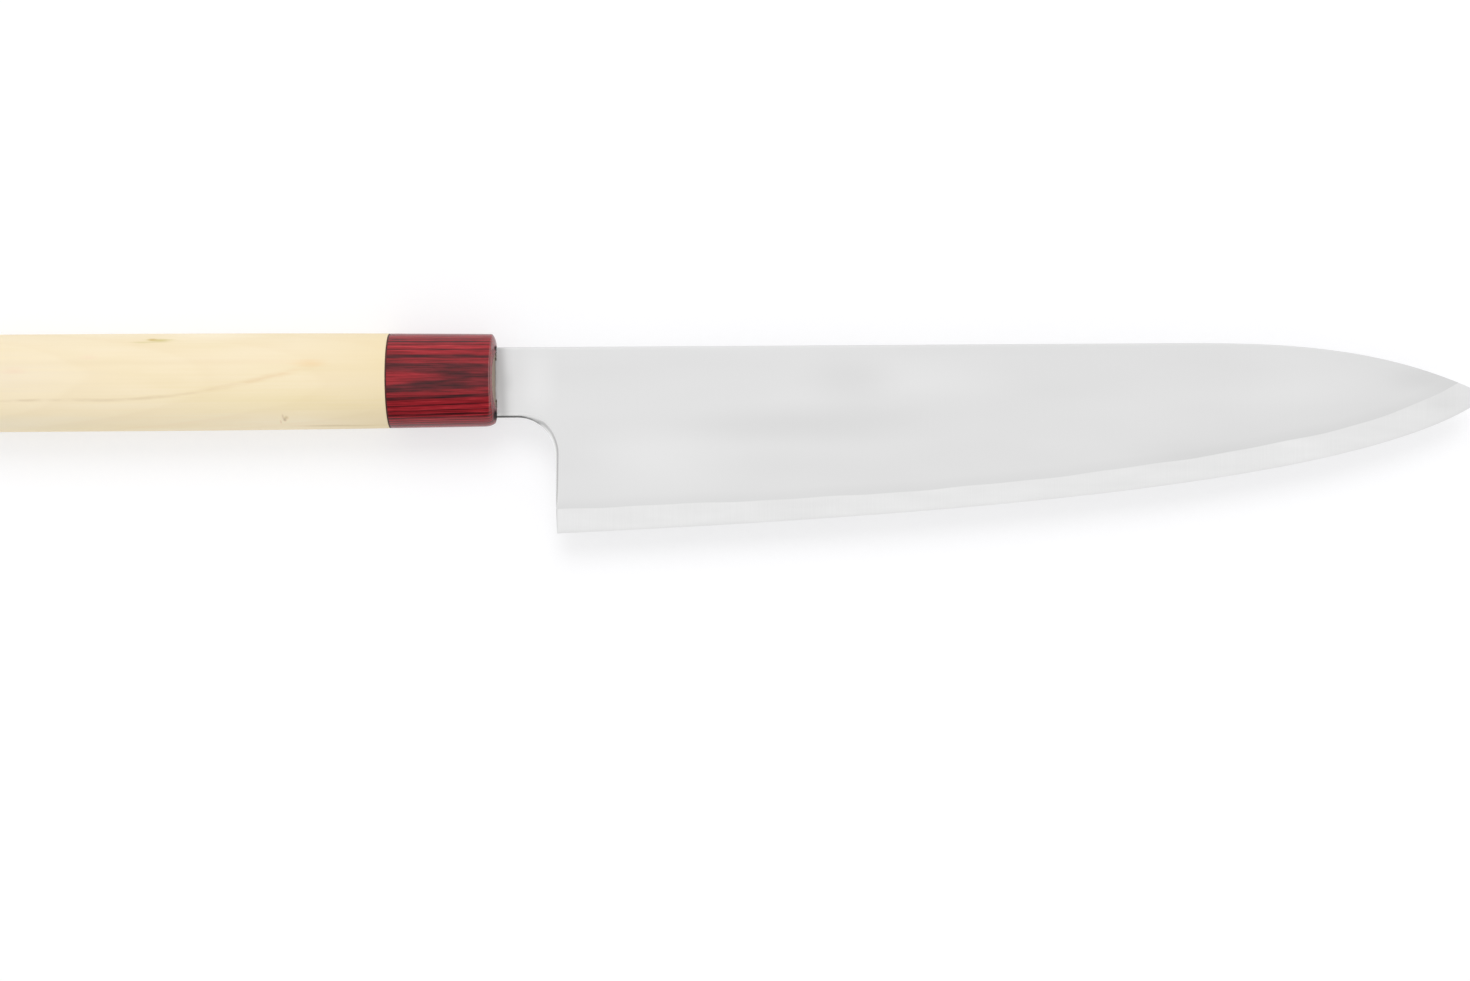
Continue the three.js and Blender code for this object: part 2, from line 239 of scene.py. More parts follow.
def skin(name, grid, material, slot, **attributes):
    """A closed piece from a grid of points, whose rows are rings. Neighbouring rings are joined by faces,
    the first and last ring are closed by a face each unless they are the same, and corners that coincide
    become one."""
    rows, columns = grid.shape[:2]
    here = np.arange(rows * columns).reshape(rows, columns)
    across = np.roll(here, -1, axis=1)
    quads = np.stack([here[:-1], across[:-1], across[1:], here[1:]], -1).reshape(-1, 4)
    ends = [] if np.array_equal(grid[0], grid[-1]) else [here[0][::-1].tolist(), here[-1].tolist()]
    mesh = bpy.data.meshes.new(name)
    mesh.from_pydata(grid.reshape(-1, 3), [], quads.tolist() + ends)
    for key, values in attributes.items():
        field = mesh.attributes.new(key, "FLOAT", "POINT")
        field.data.foreach_set("value", values.astype(np.float32).ravel())
    shell = bmesh.new()
    shell.from_mesh(mesh)
    bmesh.ops.remove_doubles(shell, verts=shell.verts, dist=MERGE_WITHIN * MM)
    bmesh.ops.dissolve_degenerate(shell, edges=shell.edges, dist=SLIVER * MM)
    bmesh.ops.recalc_face_normals(shell, faces=shell.faces)
    shell.to_mesh(mesh)
    shell.free()
    mesh.shade_smooth()
    mesh.set_sharp_from_angle(angle=np.radians(CREASE_ANGLE))
    mesh.materials.append(material)
    piece = bpy.data.objects.new(name, mesh)
    bpy.context.scene.collection.objects.link(piece)
    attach(piece, "root")
    return piece


def colour(code):
    """An sRGB hex code as linear red, green, blue and alpha."""
    srgb = np.array([int(code[i : i + 2], 16) for i in (1, 3, 5)]) / 255
    linear = np.where(srgb <= 0.04045, srgb / 12.92, ((srgb + 0.055) / 1.055) ** 2.4)
    return (*linear.tolist(), 1.0)


def material(name):
    """A new material, its node tree and its Principled shader."""
    made = bpy.data.materials.new(name)
    made.use_nodes = True
    return made, made.node_tree, made.node_tree.nodes["Principled BSDF"]


def add(tree, kind, inputs=(), stops=(), **settings):
    """Adds one node. Settings are its properties, inputs gives each socket a value or the output that feeds
    it, and stops are a colour ramp's positions and colours."""
    node = tree.nodes.new("ShaderNode" + kind)
    for key, value in settings.items():
        setattr(node, key, value)
    for key, value in dict(inputs).items():
        if isinstance(value, bpy.types.NodeSocket):
            tree.links.new(value, node.inputs[key])
        else:
            node.inputs[key].default_value = value
    if stops:
        elements = node.color_ramp.elements
        while len(elements) < len(stops):
            elements.new(1.0)
        for element, (position, tint) in zip(elements, stops):
            element.position = position
            element.color = tint
    return node


def in_millimetres(tree, stretch=(1, 1, 1)):
    """The output of a Mapping node that turns Object coordinates into millimetres from the ferrule's face on
    the handle's axis, and divides each direction by the given size of a pattern."""
    here = add(tree, "TexCoord").outputs["Object"]
    scale = [1 / MM / size for size in stretch]
    origin = (FERRULE_FACE_X, AXIS_Y, AXIS_Z)
    shift = [-start * factor for start, factor in zip(origin, scale)]
    return add(tree, "Mapping", {"Vector": here, "Location": shift, "Scale": scale}).outputs["Vector"]


def grey(level):
    """A neutral linear colour."""
    return (level, level, level, 1.0)


def spot(tree, here, centre, size, ragged=None):
    """Inside an ellipsoid, a share that falls smoothly from 1 at its centre to 0 at its rim. A ragged value
    moves the rim in and out."""
    apart = add(tree, "VectorMath", {0: here, 1: centre}, operation="SUBTRACT")
    apart = add(tree, "VectorMath", {0: apart.outputs[0], 1: size}, operation="DIVIDE")
    reach = add(tree, "VectorMath", {0: apart.outputs[0]}, operation="LENGTH").outputs["Value"]
    if ragged:
        reach = add(tree, "Math", {0: reach, 1: ragged}).outputs[0]
    inside = {"Value": reach, "To Min": 1.0, "To Max": 0.0}
    return add(tree, "MapRange", inside, interpolation_type="SMOOTHSTEP").outputs["Result"]


def clouded(tree, here, level, clouds):
    """A level that is raised or lowered in soft clouds, each given by its centre, half size and change."""
    for centre, size, change in clouds:
        share = spot(tree, here, centre, size)
        level = add(tree, "Math", {0: share, 1: change, 2: level}, operation="MULTIPLY_ADD").outputs[0]
    return level


# Carbon steel, polished on fine stones after grinding: brighter and a little sharper in its reflections than
# the layers round it, with faint hairlines that run from spine to edge and soft clouds left by the stones.
# Real hairlines are some hundredths of a millimetre wide, too fine to show, so they are drawn coarser.
# Handled steel has a thin dull film, so a small share of it is not metallic, and it is darker at a slant.
STEEL_METALLIC = 0.85
STEEL_SLANT_TINT = 0.4
STONE_CLOUD = (14.0, 3.0, 3.0)
STONE_HAIRLINE = (0.35, 14.0, 14.0)
CORE_CLOUDS = (
    ((78.0, -33.4, 0), (16, 5, 3), -0.03),
    ((206.9, -19.3, 0), (18, 6, 3), 0.045),
    ((244.0, -7.2, 0), (9, 5, 3), -0.06),
)

core_look, tree, shader = material("polished_carbon_steel")
cloud = add(tree, "TexNoise", {"Vector": in_millimetres(tree, STONE_CLOUD), "Scale": 1.0, "Detail": 2.0})
hair = add(tree, "TexNoise", {"Vector": in_millimetres(tree, STONE_HAIRLINE), "Scale": 1.0, "Detail": 2.0})
mixed = add(tree, "Mix", {"Factor": 0.4, 2: cloud.outputs["Fac"], 3: hair.outputs["Fac"]})
tone = add(
    tree,
    "ValToRGB",
    {"Fac": mixed.outputs[0]},
    stops=[(0.3, colour("#eaeaea")), (0.7, colour("#f0f0f0"))],
)
level = clouded(tree, in_millimetres(tree), 1.0, CORE_CLOUDS)
shaded = add(tree, "VectorMath", {0: tone.outputs["Color"], "Scale": level}, operation="SCALE")
sheen = add(tree, "MapRange", {"Value": hair.outputs["Fac"], "To Min": 0.26, "To Max": 0.34})
scratch = add(tree, "Bump", {"Height": hair.outputs["Fac"], "Strength": 0.05, "Distance": 0.02 * MM})
shader.inputs["Metallic"].default_value = STEEL_METALLIC
shader.inputs["Specular Tint"].default_value = grey(STEEL_SLANT_TINT)
tree.links.new(shaded.outputs[0], shader.inputs["Base Color"])
tree.links.new(sheen.outputs["Result"], shader.inputs["Roughness"])
tree.links.new(scratch.outputs["Normal"], shader.inputs["Normal"])

# Points along the edge. In the first millimetre at the heel they are given in millimetres, and the curve's
# speed there, three times its first pull, turns them into its own steps.
HEEL_POINTS = np.array([0, 0.03, 0.07, 0.13, 0.2, 0.3, 0.5, 0.9])
EDGE_STEPS = np.concatenate([HEEL_POINTS / (3 * EDGE_FLAT_PULL), np.linspace(0.004, 1, 240)])
HEEL_STEPS = np.linspace(0, 1, 26)[1:-1]
weld_line = weld_line_at(EDGE_STEPS)
inside = weld_line[:, 1] < spine_at(weld_line[:, 0])[:, 1]
last_weld = np.nonzero(inside)[0][-1]
weld_start = weld_line[0]
weld_end = spine_at(weld_line[last_weld : last_weld + 2].mean(0)[:1])[0]
blank_upper, blank_lower = blank_sides()
heel_y = -CHOIL_DROP + (weld_start[1] + CHOIL_DROP) * HEEL_STEPS
heel_lower = np.stack([rear_x(heel_y), heel_y], -1)
heel_upper = spine_at(OVER_CHOIL_X + (OVER_HEEL_X - OVER_CHOIL_X) * HEEL_STEPS)
edge_points = edge_at(EDGE_STEPS)
over_weld = (weld_line[:, 0] - weld_start[0]) / (weld_end[0] - weld_start[0])
over_tip = (edge_points[:, 0] - edge_points[last_weld, 0]) / (TIP_X - edge_points[last_weld, 0])
spine_x = OVER_HEEL_X + (weld_end[0] - OVER_HEEL_X) * np.clip(over_weld, 0, 1)
spine_tip_x = weld_end[0] + (TIP_X - weld_end[0]) * np.clip(over_tip, 0, 1)
edge_upper = spine_at(np.where(inside, spine_x, spine_tip_x))
edge_weld = np.where(inside[:, None], weld_line, edge_upper)


def core_grid():
    """Rings round the core layer. Each ring goes down the right side from the spine to the weld line, on to
    the cutting edge, and back up the left side. Between tang and heel the bared band has no width. Beside
    the heel's back wall the band is eased as a quarter of an ellipse."""
    upper = np.vstack([blank_upper, heel_upper, edge_upper])
    weld = np.vstack([blank_lower, heel_lower, edge_weld])
    lower = np.vstack([blank_lower, heel_lower, edge_points])
    covered = np.linspace(0, 1, 8)
    width = np.maximum(np.linalg.norm(lower - weld, axis=1), 1e-6)[:, None]
    arris = np.clip(1 - SHARPENED_BAND / width, 0, 1)
    sharpened = arris + (1 - arris) * np.linspace(0, 1, 5)[1:]
    bared = np.concatenate([arris * np.linspace(0, 1, 16), sharpened], 1)
    hidden = upper[:, None] + (weld - upper)[:, None] * covered[:, None]
    shown = weld[:, None] + (lower - weld)[:, None] * bared[..., None]
    ground = half_thickness(hidden[..., 0], hidden[..., 1])
    deep = np.minimum(core_half(hidden[..., 0]), ground) - WELD_STEP
    flush = half_thickness(shown[..., 0], shown[..., 1])
    from_back = np.clip((shown[..., 0] - rear_x(shown[..., 1])) / HEEL_EASE, 0, 1)
    quarter = np.sqrt(1 - (1 - from_back) ** 2)
    eased = flush * (HEEL_EASE_LEAST + (1 - HEEL_EASE_LEAST) * quarter)
    bare = (np.arange(len(upper)) >= len(upper) - len(edge_points))[:, None]
    flush = np.where(bare, eased, deep[:, -1:])
    side = np.concatenate([hidden, shown], 1)
    out = np.concatenate([np.maximum(deep, CORE_LEAST_HALF), flush], 1)
    right = place(side[..., 0], side[..., 1], out)
    left = place(side[..., 0], side[..., 1], -out)
    return np.concatenate([right, left[:, ::-1]], 1)


core = skin("core_steel_polished", core_grid(), core_look, "core_steel")
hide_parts("core_steel")

# Cladding
# The two layers of softer steel that are forged onto the core, one on each face. They are ground thin
# towards the edge, where they end at the weld line, eased round at spine and choil, and satin polished.
SPINE_EASE = 0.5
SPINE_EASE_SHARE = 0.45
SPINE_EASE_MOST = 0.4
CLAD_FLOOR = 0.012
FACE_CROWDING = 0.9

# The rolled rim of neck and choil. The places go down the choil from the neck, 0, to its foot, 1. There the
# rows give the rim's width in millimetres, its last turn from the face in degrees, the power by which that
# turn grows, and its painted reflection: a level of painted shade or light beside the face and at its outer
# end, which it nears by a cube.
RIM_PLACES = (0.0, 0.22, 0.35, 0.48, 0.62, 0.78, 1.0)
RIM_WIDTHS = (0.8, 1.1, 1.7, 1.6, 1.35, 1.2, 1.1)
RIM_TURNS = (40.0, 29.0, 22.0, 30.0, 38.0, 46.0, 48.0)
RIM_BENDS = (1.0, 1.2, 1.1, 0.7, 0.55, 0.5, 0.5)
RIM_PAINTED_INNER = (0.95, 0.9, 0.94, 0.94, 0.92, 0.92, 0.93)
RIM_PAINTED_OUTER = (0.8, 0.85, 0.76, 0.97, 1.1, 1.2, 1.2)
RIM_FADE = 3
RIM_DEEPEST = 0.9

# Low-carbon steel, brought to a satin polish by hand: an even, slightly cloudy grey, a little darker just
# above the weld line, and darkened beside the ferrule by painted shade. The rounded rims are glossier. The
# hairlines are drawn coarser than real ones, which would be too fine to show.
DARK_BAND = 3.0
NECK_SHADE_REACH = 4.8
NECK_SHADE_SLANT = 0.05
POLISH_CLOUD = (60.0, 14.0, 14.0)
POLISH_HAIRLINE = (0.4, 22.0, 22.0)
POLISH_CLOUDS_AND_SHADE = (
    # The first cloud is painted shade beside the ferrule. The others are the polish's own tone.
    ((3.1, -0.5, 0), (2.2, 4, 5), -0.05),
    ((10.7, -0.1, 0), (7, 12, 5), 0.08),
    ((42.2, -22.1, 0), (30, 14, 5), 0.07),
    ((114.3, -0.7, 0), (26, 10, 5), 0.03),
    ((206.9, -2.6, 0), (28, 14, 5), 0.03),
    ((80.8, -11.8, 0), (44, 7, 5), -0.07),
    ((91.2, -0.6, 0), (17, 10, 5), -0.055),
    ((239.8, -1.0, 0), (15, 5, 5), -0.06),
    ((179.8, -20.4, 0), (26, 5, 5), -0.03),
)

clad_look, tree, shader = material("satin_polished_cladding_steel")
here = in_millimetres(tree)
cloud = add(tree, "TexNoise", {"Vector": in_millimetres(tree, POLISH_CLOUD), "Scale": 1.0, "Detail": 1.5})
hair = add(tree, "TexNoise", {"Vector": in_millimetres(tree, POLISH_HAIRLINE), "Scale": 1.0, "Detail": 2.5})
mixed = add(tree, "Mix", {"Factor": 0.2, 2: cloud.outputs["Fac"], 3: hair.outputs["Fac"]})
tone = add(
    tree,
    "ValToRGB",
    {"Fac": mixed.outputs[0]},
    stops=[(0.28, colour("#e5e5e5")), (0.72, colour("#eaeaea"))],
)
above = add(tree, "Attribute", attribute_name="above_weld")
level = add(tree, "MapRange", {"Value": above.outputs["Fac"], "To Min": 0.955, "To Max": 1.0})
level = clouded(tree, here, level.outputs["Result"], POLISH_CLOUDS_AND_SHADE)
axes = add(tree, "SeparateXYZ", {"Vector": here}).outputs
# Painted shade: the level drops beside the ferrule's face and rises back over this reach, a little slanted.
along = add(tree, "Math", {0: axes["Y"], 1: NECK_SHADE_SLANT, 2: axes["X"]}, operation="MULTIPLY_ADD")
along = add(tree, "Math", {0: along.outputs[0], 1: NECK_SHADE_REACH}, operation="DIVIDE")
painted_shade_dull = add(
    tree,
    "ValToRGB",
    {"Fac": along.outputs[0]},
    stops=[
        (0.1, grey(0.84)),
        (0.2, grey(0.755)),
        (0.31, grey(0.725)),
        (0.41, grey(0.76)),
        (0.55, grey(0.85)),
        (0.65, grey(0.915)),
        (0.77, grey(0.96)),
        (1.0, grey(1.0)),
    ],
)
level = add(tree, "Math", {0: level, 1: painted_shade_dull.outputs["Color"]}, operation="MULTIPLY").outputs[0]
rim = add(tree, "Attribute", attribute_name="polished_rim")
# Painted reflection on the rolled rims: dark lines and a pale band, multiplied into the level.
rim_level = add(tree, "Attribute", attribute_name="rim_level").outputs["Fac"]
level = add(tree, "Math", {0: level, 1: rim_level}, operation="MULTIPLY").outputs[0]
shaded = add(tree, "VectorMath", {0: tone.outputs["Color"], "Scale": level}, operation="SCALE")
sheen = add(tree, "MapRange", {"Value": hair.outputs["Fac"], "To Min": 0.31, "To Max": 0.41})
sheen = add(
    tree,
    "MapRange",
    {"Value": rim.outputs["Fac"], "To Min": sheen.outputs["Result"], "To Max": 0.16},
)
scratch = add(tree, "Bump", {"Height": hair.outputs["Fac"], "Strength": 0.05, "Distance": 0.02 * MM})
shader.inputs["Metallic"].default_value = STEEL_METALLIC
shader.inputs["Specular Tint"].default_value = grey(STEEL_SLANT_TINT)
tree.links.new(shaded.outputs[0], shader.inputs["Base Color"])
tree.links.new(sheen.outputs["Result"], shader.inputs["Roughness"])
tree.links.new(scratch.outputs["Normal"], shader.inputs["Normal"])


def inward(line, towards):
    """Unit vectors square to a line of points, on the side that faces the given points."""
    along = np.gradient(line, axis=0)
    square = np.stack([-along[:, 1], along[:, 0]], -1)
    square /= np.maximum(np.linalg.norm(square, axis=1, keepdims=True), 1e-9)
    facing = np.sign((square * (towards - line)).sum(1, keepdims=True))
    return square * np.where(facing == 0, 1, facing)


def clad_grid(side):
    """Rings round one cladding layer. Each ring starts at the spine, rounds its rim as a quarter ellipse,
    goes down the face to the choil or to the thin end at the weld line, and back up against the core. Neck
    and choil are rolled off: across the rim the surface turns away from the face by a growing angle, whose
    tangent adds up to the rim's fall, and then it drops straight to the core."""
    clad = inside.nonzero()[0]
    upper = np.vstack([blank_upper, heel_upper, edge_upper[clad], weld_end])
    lower = np.vstack([blank_lower, heel_lower, weld_line[clad], weld_end])
    walled = len(blank_lower) + len(heel_lower)
    down_choil = np.sqrt(np.clip((-lower[:, 1] - NECK_DROP) / (CHOIL_DROP - NECK_DROP), 0, 1))
    table = (RIM_WIDTHS, RIM_TURNS, RIM_BENDS, RIM_PAINTED_INNER, RIM_PAINTED_OUTER)
    wide, last, bend, at_face, at_edge = (np.interp(down_choil, RIM_PLACES, row) for row in table)
    wide[len(blank_lower) : walled] *= np.sqrt(1 - HEEL_STEPS)
    wide[walled:] = 0
    corner = np.argmax(lower[:, 1] <= -NECK_DROP)
    wide[:corner] = 0
    up, down = inward(lower, upper), inward(upper, lower)
    up[: corner + 1] = (0, 1)
    down[: corner + 1] = (0, -1)
    room = np.linalg.norm(upper - lower, axis=1)
    upper_ease = np.minimum(SPINE_EASE, SPINE_EASE_MOST * room)[:, None]
    steps = 1 - np.cos(np.linspace(0, np.pi / 2, 9))
    top = upper[:, None] + (down[:, None] * (upper_ease * steps)[..., None])
    over = np.linspace(0, 1, 17)
    slope = np.tan(np.radians(last[:, None] * over ** bend[:, None]))
    foot = lower[:, None] + up[:, None] * (wide[:, None] * (1 - over))[..., None]
    fall = np.cumsum((slope[:, 1:] + slope[:, :-1]) / 2 * np.diff(over), 1)
    fall = wide[:, None] * np.concatenate([np.zeros((len(lower), 1)), fall], 1)
    spare = half_thickness(lower[:, 0], lower[:, 1]) - core_half(lower[:, 0]) - CLAD_FLOOR
    most = RIM_DEEPEST * np.maximum(spare, 0)
    fall *= np.minimum(1, most / np.maximum(fall[:, -1], 1e-6))[:, None]
    across = np.linspace(0, 1, 60)[1:-1] ** FACE_CROWDING
    face = top[:, -1:] + (foot[:, :1] - top[:, -1:]) * across[:, None]
    outer = np.concatenate([top, face, foot], 1)
    inner = lower[:, None] + (upper - lower)[:, None] * np.linspace(0, 1, 8)[:, None]
    ease = SPINE_EASE_SHARE * (1 - np.sqrt(1 - (1 - steps) ** 2))
    rows = np.ones((len(upper), 1))
    ease = rows * ease
    ease[:corner] = 0
    keep = np.concatenate([1 - ease, rows * np.ones(len(across)), np.ones_like(fall)], 1)
    lowered = np.concatenate([rows * np.zeros(len(steps) + len(across)), fall], 1)
    thick = half_thickness(outer[..., 0], outer[..., 1])
    behind = half_thickness(inner[..., 0], inner[..., 1])
    seat = np.minimum(core_half(inner[..., 0]), behind - CLAD_FLOOR)
    least = np.minimum(core_half(outer[..., 0]), thick - CLAD_FLOOR)
    out = np.maximum(thick * keep - lowered, least + CLAD_FLOOR / 2)
    ring = np.concatenate([outer, inner], 1)
    grid = place(ring[..., 0], ring[..., 1], side * np.concatenate([out, seat], 1))
    above = np.ones(ring.shape[:2])
    gap = np.linalg.norm(outer - lower[:, None], axis=2)
    above[walled:, : outer.shape[1]] = np.clip(gap[walled:] / DARK_BAND, 0, 1)
    # The rim's level is painted reflection, shade and light along neck and choil.
    polished, rim_level = np.zeros(ring.shape[:2]), np.ones(ring.shape[:2])
    on_rim = (slice(corner, walled), slice(len(steps) + len(across) + 1, outer.shape[1]))
    polished[on_rim] = 1
    rim_painted_fade = at_face[:, None] + (at_edge - at_face)[:, None] * over**RIM_FADE
    rim_level[on_rim] = rim_painted_fade[corner:walled, 1:]
    return grid, above, polished, rim_level


for side, node in ((1, "right_cladding"), (-1, "left_cladding")):
    grid, above, polished, rim_level = clad_grid(side)
    layer = skin(
        node + "_satin",
        grid,
        clad_look,
        "cladding_steel",
        above_weld=above,
        polished_rim=polished,
        rim_level=rim_level,
    )
    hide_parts(node)

# Handle body
# The grip of pale magnolia wood, turned and sanded to an oval that swells a little towards the butt. A round
# tenon on its front goes through the ferrule and ends a hair behind its face. The slot for the tang is burnt
# and filed into it.
BUTT_X = (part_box("handle_body")[0].x - FERRULE_FACE_X) / MM
BUTT_HALF = (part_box("handle_body")[1].y - AXIS_Y) / MM
BUTT_HALF_THICK = (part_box("handle_body")[1].z - AXIS_Z) / MM
OVAL = BUTT_HALF_THICK / BUTT_HALF
FRONT_HALF = 11.9
TAPER_LENGTH = 100.0
BUTT_ROUNDING = 2.5
BUTT_RINGS = np.array([0.0, 4.0, 8.0])
SEAM_FIT = 0.05
SEAM_X = (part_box("ferrule_glue_line")[0].x - FERRULE_FACE_X) / MM - SEAM_FIT
SEAM_ROUNDING = 0.07
SEAM_STEPS = 5
TENON_RADIUS = 7.25
TENON_RECESS = 0.2
TENON_EASE = 0.06
FRONT_BULGE = 0.27
FRONT_FALL = 1.13
FRONT_SPAN = 1.08
END_FALL = 1.0
SPINE_SIDE_FALL = 0.1
END_POWER = 9
SLOT_HALF = (5.65, 1.75)
SLOT_DEPTH = 4.0
SLOT_SQUARE = 12.0
ROUND = 2.0
TURN = np.linspace(0, 2 * np.pi, 128, endpoint=False)


def oval_half(x):
    """Half the oval's height: it swells along a parabola from the ferrule's face and runs level where the
    taper ends."""
    return BUTT_HALF + (FRONT_HALF - BUTT_HALF) * np.maximum(1 + x / TAPER_LENGTH, 0) ** 2


def rounding(x, half, radius, start, end, steps):
    """A stretch of a circle about a point of the profile, as X and half height, between two angles in
    degrees."""
    angle = np.radians(np.linspace(start, end, steps))
    return np.stack([x + radius * np.cos(angle), half + radius * np.sin(angle)], -1)


def loop(tall, thick, square=ROUND):
    """Y and Z round the handle's axis, from half height, half thickness and squareness: 2 is an ellipse, and
    a larger number a superellipse that nears a rectangle."""
    y = tall * np.sign(np.cos(TURN)) * np.abs(np.cos(TURN)) ** (2 / square)
    z = thick * np.sign(np.sin(TURN)) * np.abs(np.sin(TURN)) ** (2 / square)
    return y, z


def rings(profile):
    """Rings about the handle's axis. A row of the profile is X, half height, half thickness and
    squareness."""
    x, *sizes = (column[:, None] for column in np.asarray(profile, float).T)
    y, z = loop(*sizes)
    return place(x + 0 * y, y, z)


def front_x(y, z):
    """X of the sanded front, which nearly touches the blade's shoulders. From the middle plane it falls back
    to both sides along a parabola that ends just outside the oval. At spine and edge it turns down sharply,
    by a high power of the height, a little further at the spine."""
    beyond = OVAL * np.sqrt((FRONT_SPAN * FRONT_HALF) ** 2 - y**2)
    height = y / FRONT_HALF
    to_sides = FRONT_FALL * (z / beyond) ** 2
    at_ends = (END_FALL + SPINE_SIDE_FALL * height) * np.abs(height) ** END_POWER
    return FRONT_BULGE - to_sides - at_ends


def sanded_front(outer, inner, steps, recess=0.0):
    """Rings of the domed front, in equal steps from one ring of Y and Z to another."""
    share = np.linspace(0, 1, steps)[:, None]
    y, z = (start + (end - start) * share for start, end in zip(outer, inner))
    return place(front_x(y, z) - recess, y, z)


def ovals(points):
    """Profile rows of the handle's own oval, from X and half height."""
    x, half = np.asarray(points, float).T
    return np.stack([x, half, half * OVAL, np.full_like(x, ROUND)], -1)


# Magnolia wood, sanded and left bare: a soft, nearly even cream with fine fibres along the handle, faint
# growth rings, and one brown ring line that comes up to the surface. It is a little darker towards the
# ferrule, and the cut end of the tenon is browner and darker, as end grain and as painted shade. The fibres
# are drawn coarser than real ones, which are some hundredths of a millimetre wide.
WOOD_FIBRE = (45.0, 0.7, 0.7)
WOOD_PATCH = (38.0, 7.0, 7.0)
WOOD_WANDER = (32.0, 9.0, 9.0)
RING_SPACING = 4.2
RING_TILT = (2.0, 8.0, 0.0)
RING_WANDER = 2.4
STREAK_START = -100.0
STREAK_END = -42.5
STREAK_FADE = (3.0, 1.0)
STREAK_LOW = -4.9
STREAK_RISE = 9.3
STREAK_CURVE = 1.8
STREAK_WOBBLE = 1.1
STREAK_CORE = 0.1
STREAK_WIDTH = 0.55
STREAK_SPREAD = 0.8
STREAK_GAPS = (7.0, 1.2, 4.0)
STREAK_FACE = (-1.0, 5.0)
SECOND_STREAK = 5.2
SECOND_WIDTH = 1.2
PAINTED_FILL_REACH = 11.0
SEAM_SHADE = 22.0
TENON_SHADE = (3.0, 0.5)

# Zones and marks in the wood, by centre, half size, colour and share: four wide paler or yellower zones, an
# olive fleck of three, a small knot of four, a painted shade line along the underside, and single flecks.
WOOD_MARKS = (
    ((-135.0, 1.5, 9.6), (50.0, 9.0, 8.0), "#f6ebe0", 0.35),
    ((-130.0, -10.5, 5.0), (50.0, 5.0, 8.0), "#fff6e1", 0.45),
    ((-73.0, 11.5, 3.5), (22.0, 5.0, 8.0), "#fff4de", 0.4),
    ((-58.0, -5.5, 8.5), (50.0, 7.5, 8.0), "#f6e4a8", 0.3),
    ((-85.3, 10.35, 5.2), (5.2, 0.75, 3.0), "#cdbf78", 0.9),
    ((-87.2, 10.6, 5.2), (1.8, 0.6, 3.0), "#cdb26e", 0.8),
    ((-89.4, 9.9, 5.6), (4.4, 0.55, 3.0), "#dccd98", 0.7),
    ((-53.35, -9.95, 5.8), (0.75, 0.9, 2.0), "#8f6a30", 0.5),
    ((-53.7, -9.2, 6.5), (0.5, 1.1, 2.0), "#a8824e", 0.34),
    ((-52.85, -9.45, 6.3), (1.0, 0.85, 2.0), "#b8973f", 0.42),
    ((-54.45, -10.5, 5.3), (0.45, 0.8, 2.0), "#b98f5c", 0.3),
    # Painted shade: a darker line along the underside, near the ferrule.
    ((-41.4, -11.5, 3.0), (15.0, 0.35, 4.0), "#c2a678", 0.4),
    ((-46.5, 4.3, 9.3), (7.0, 1.5, 4.0), "#f3cb92", 0.3),
    ((-121.1, 2.7, 9.8), (5.0, 1.4, 4.0), "#f6d9bf", 0.4),
    ((-102.7, 6.1, 8.6), (4.0, 1.1, 4.0), "#f6d9bf", 0.35),
    ((-61.0, 3.0, -9.6), (3.4, 0.6, 2.0), "#c4a670", 0.8),
)

wood_look, tree, shader = material("sanded_magnolia_wood")
here = in_millimetres(tree)
axes = add(tree, "SeparateXYZ", {"Vector": here}).outputs
fibre = add(tree, "TexNoise", {"Vector": in_millimetres(tree, WOOD_FIBRE), "Scale": 1.0, "Detail": 3.0})
patch = add(tree, "TexNoise", {"Vector": in_millimetres(tree, WOOD_PATCH), "Scale": 1.0, "Detail": 2.0})
wander = add(tree, "TexNoise", {"Vector": in_millimetres(tree, WOOD_WANDER), "Scale": 1.0, "Detail": 2.0})
tilted = add(tree, "Mapping", {"Vector": here, "Rotation": np.radians(RING_TILT)})
depth = add(tree, "SeparateXYZ", {"Vector": tilted.outputs["Vector"]}).outputs["Z"]
warped = add(tree, "Math", {0: wander.outputs["Fac"], 1: RING_WANDER, 2: depth}, operation="MULTIPLY_ADD")
ring = add(tree, "Math", {0: warped.outputs[0], 1: RING_SPACING}, operation="DIVIDE")
ring = add(tree, "Math", {0: ring.outputs[0]}, operation="FRACT")
ring_line = add(
    tree,
    "ValToRGB",
    {"Fac": ring.outputs[0]},
    stops=[(0.0, grey(0.55)), (0.12, grey(0.0)), (0.6, grey(0.08)), (1.0, grey(0.55))],
)

# The ring line climbs by a power of the way along the handle, and wobbles. A fainter one lies above it. Both
# come up only on the right-hand face.
climb = add(tree, "MapRange", {"Value": axes["X"], "From Min": STREAK_START, "From Max": STREAK_END})
climb = add(tree, "Math", {0: climb.outputs["Result"], 1: STREAK_CURVE}, operation="POWER").outputs[0]
streak_y = add(tree, "Math", {0: climb, 1: STREAK_RISE, 2: STREAK_LOW}, operation="MULTIPLY_ADD")
wobble = add(
    tree,
    "Math",
    {0: wander.outputs["Fac"], 1: STREAK_WOBBLE, 2: axes["Y"]},
    operation="MULTIPLY_ADD",
)
off_streak = add(tree, "Math", {0: wobble.outputs[0], 1: streak_y.outputs[0]}, operation="SUBTRACT")
off_streak = add(tree, "Math", {0: off_streak.outputs[0], 1: STREAK_WOBBLE / 2}, operation="SUBTRACT")
off_streak = add(tree, "Math", {0: off_streak.outputs[0]}, operation="ABSOLUTE")
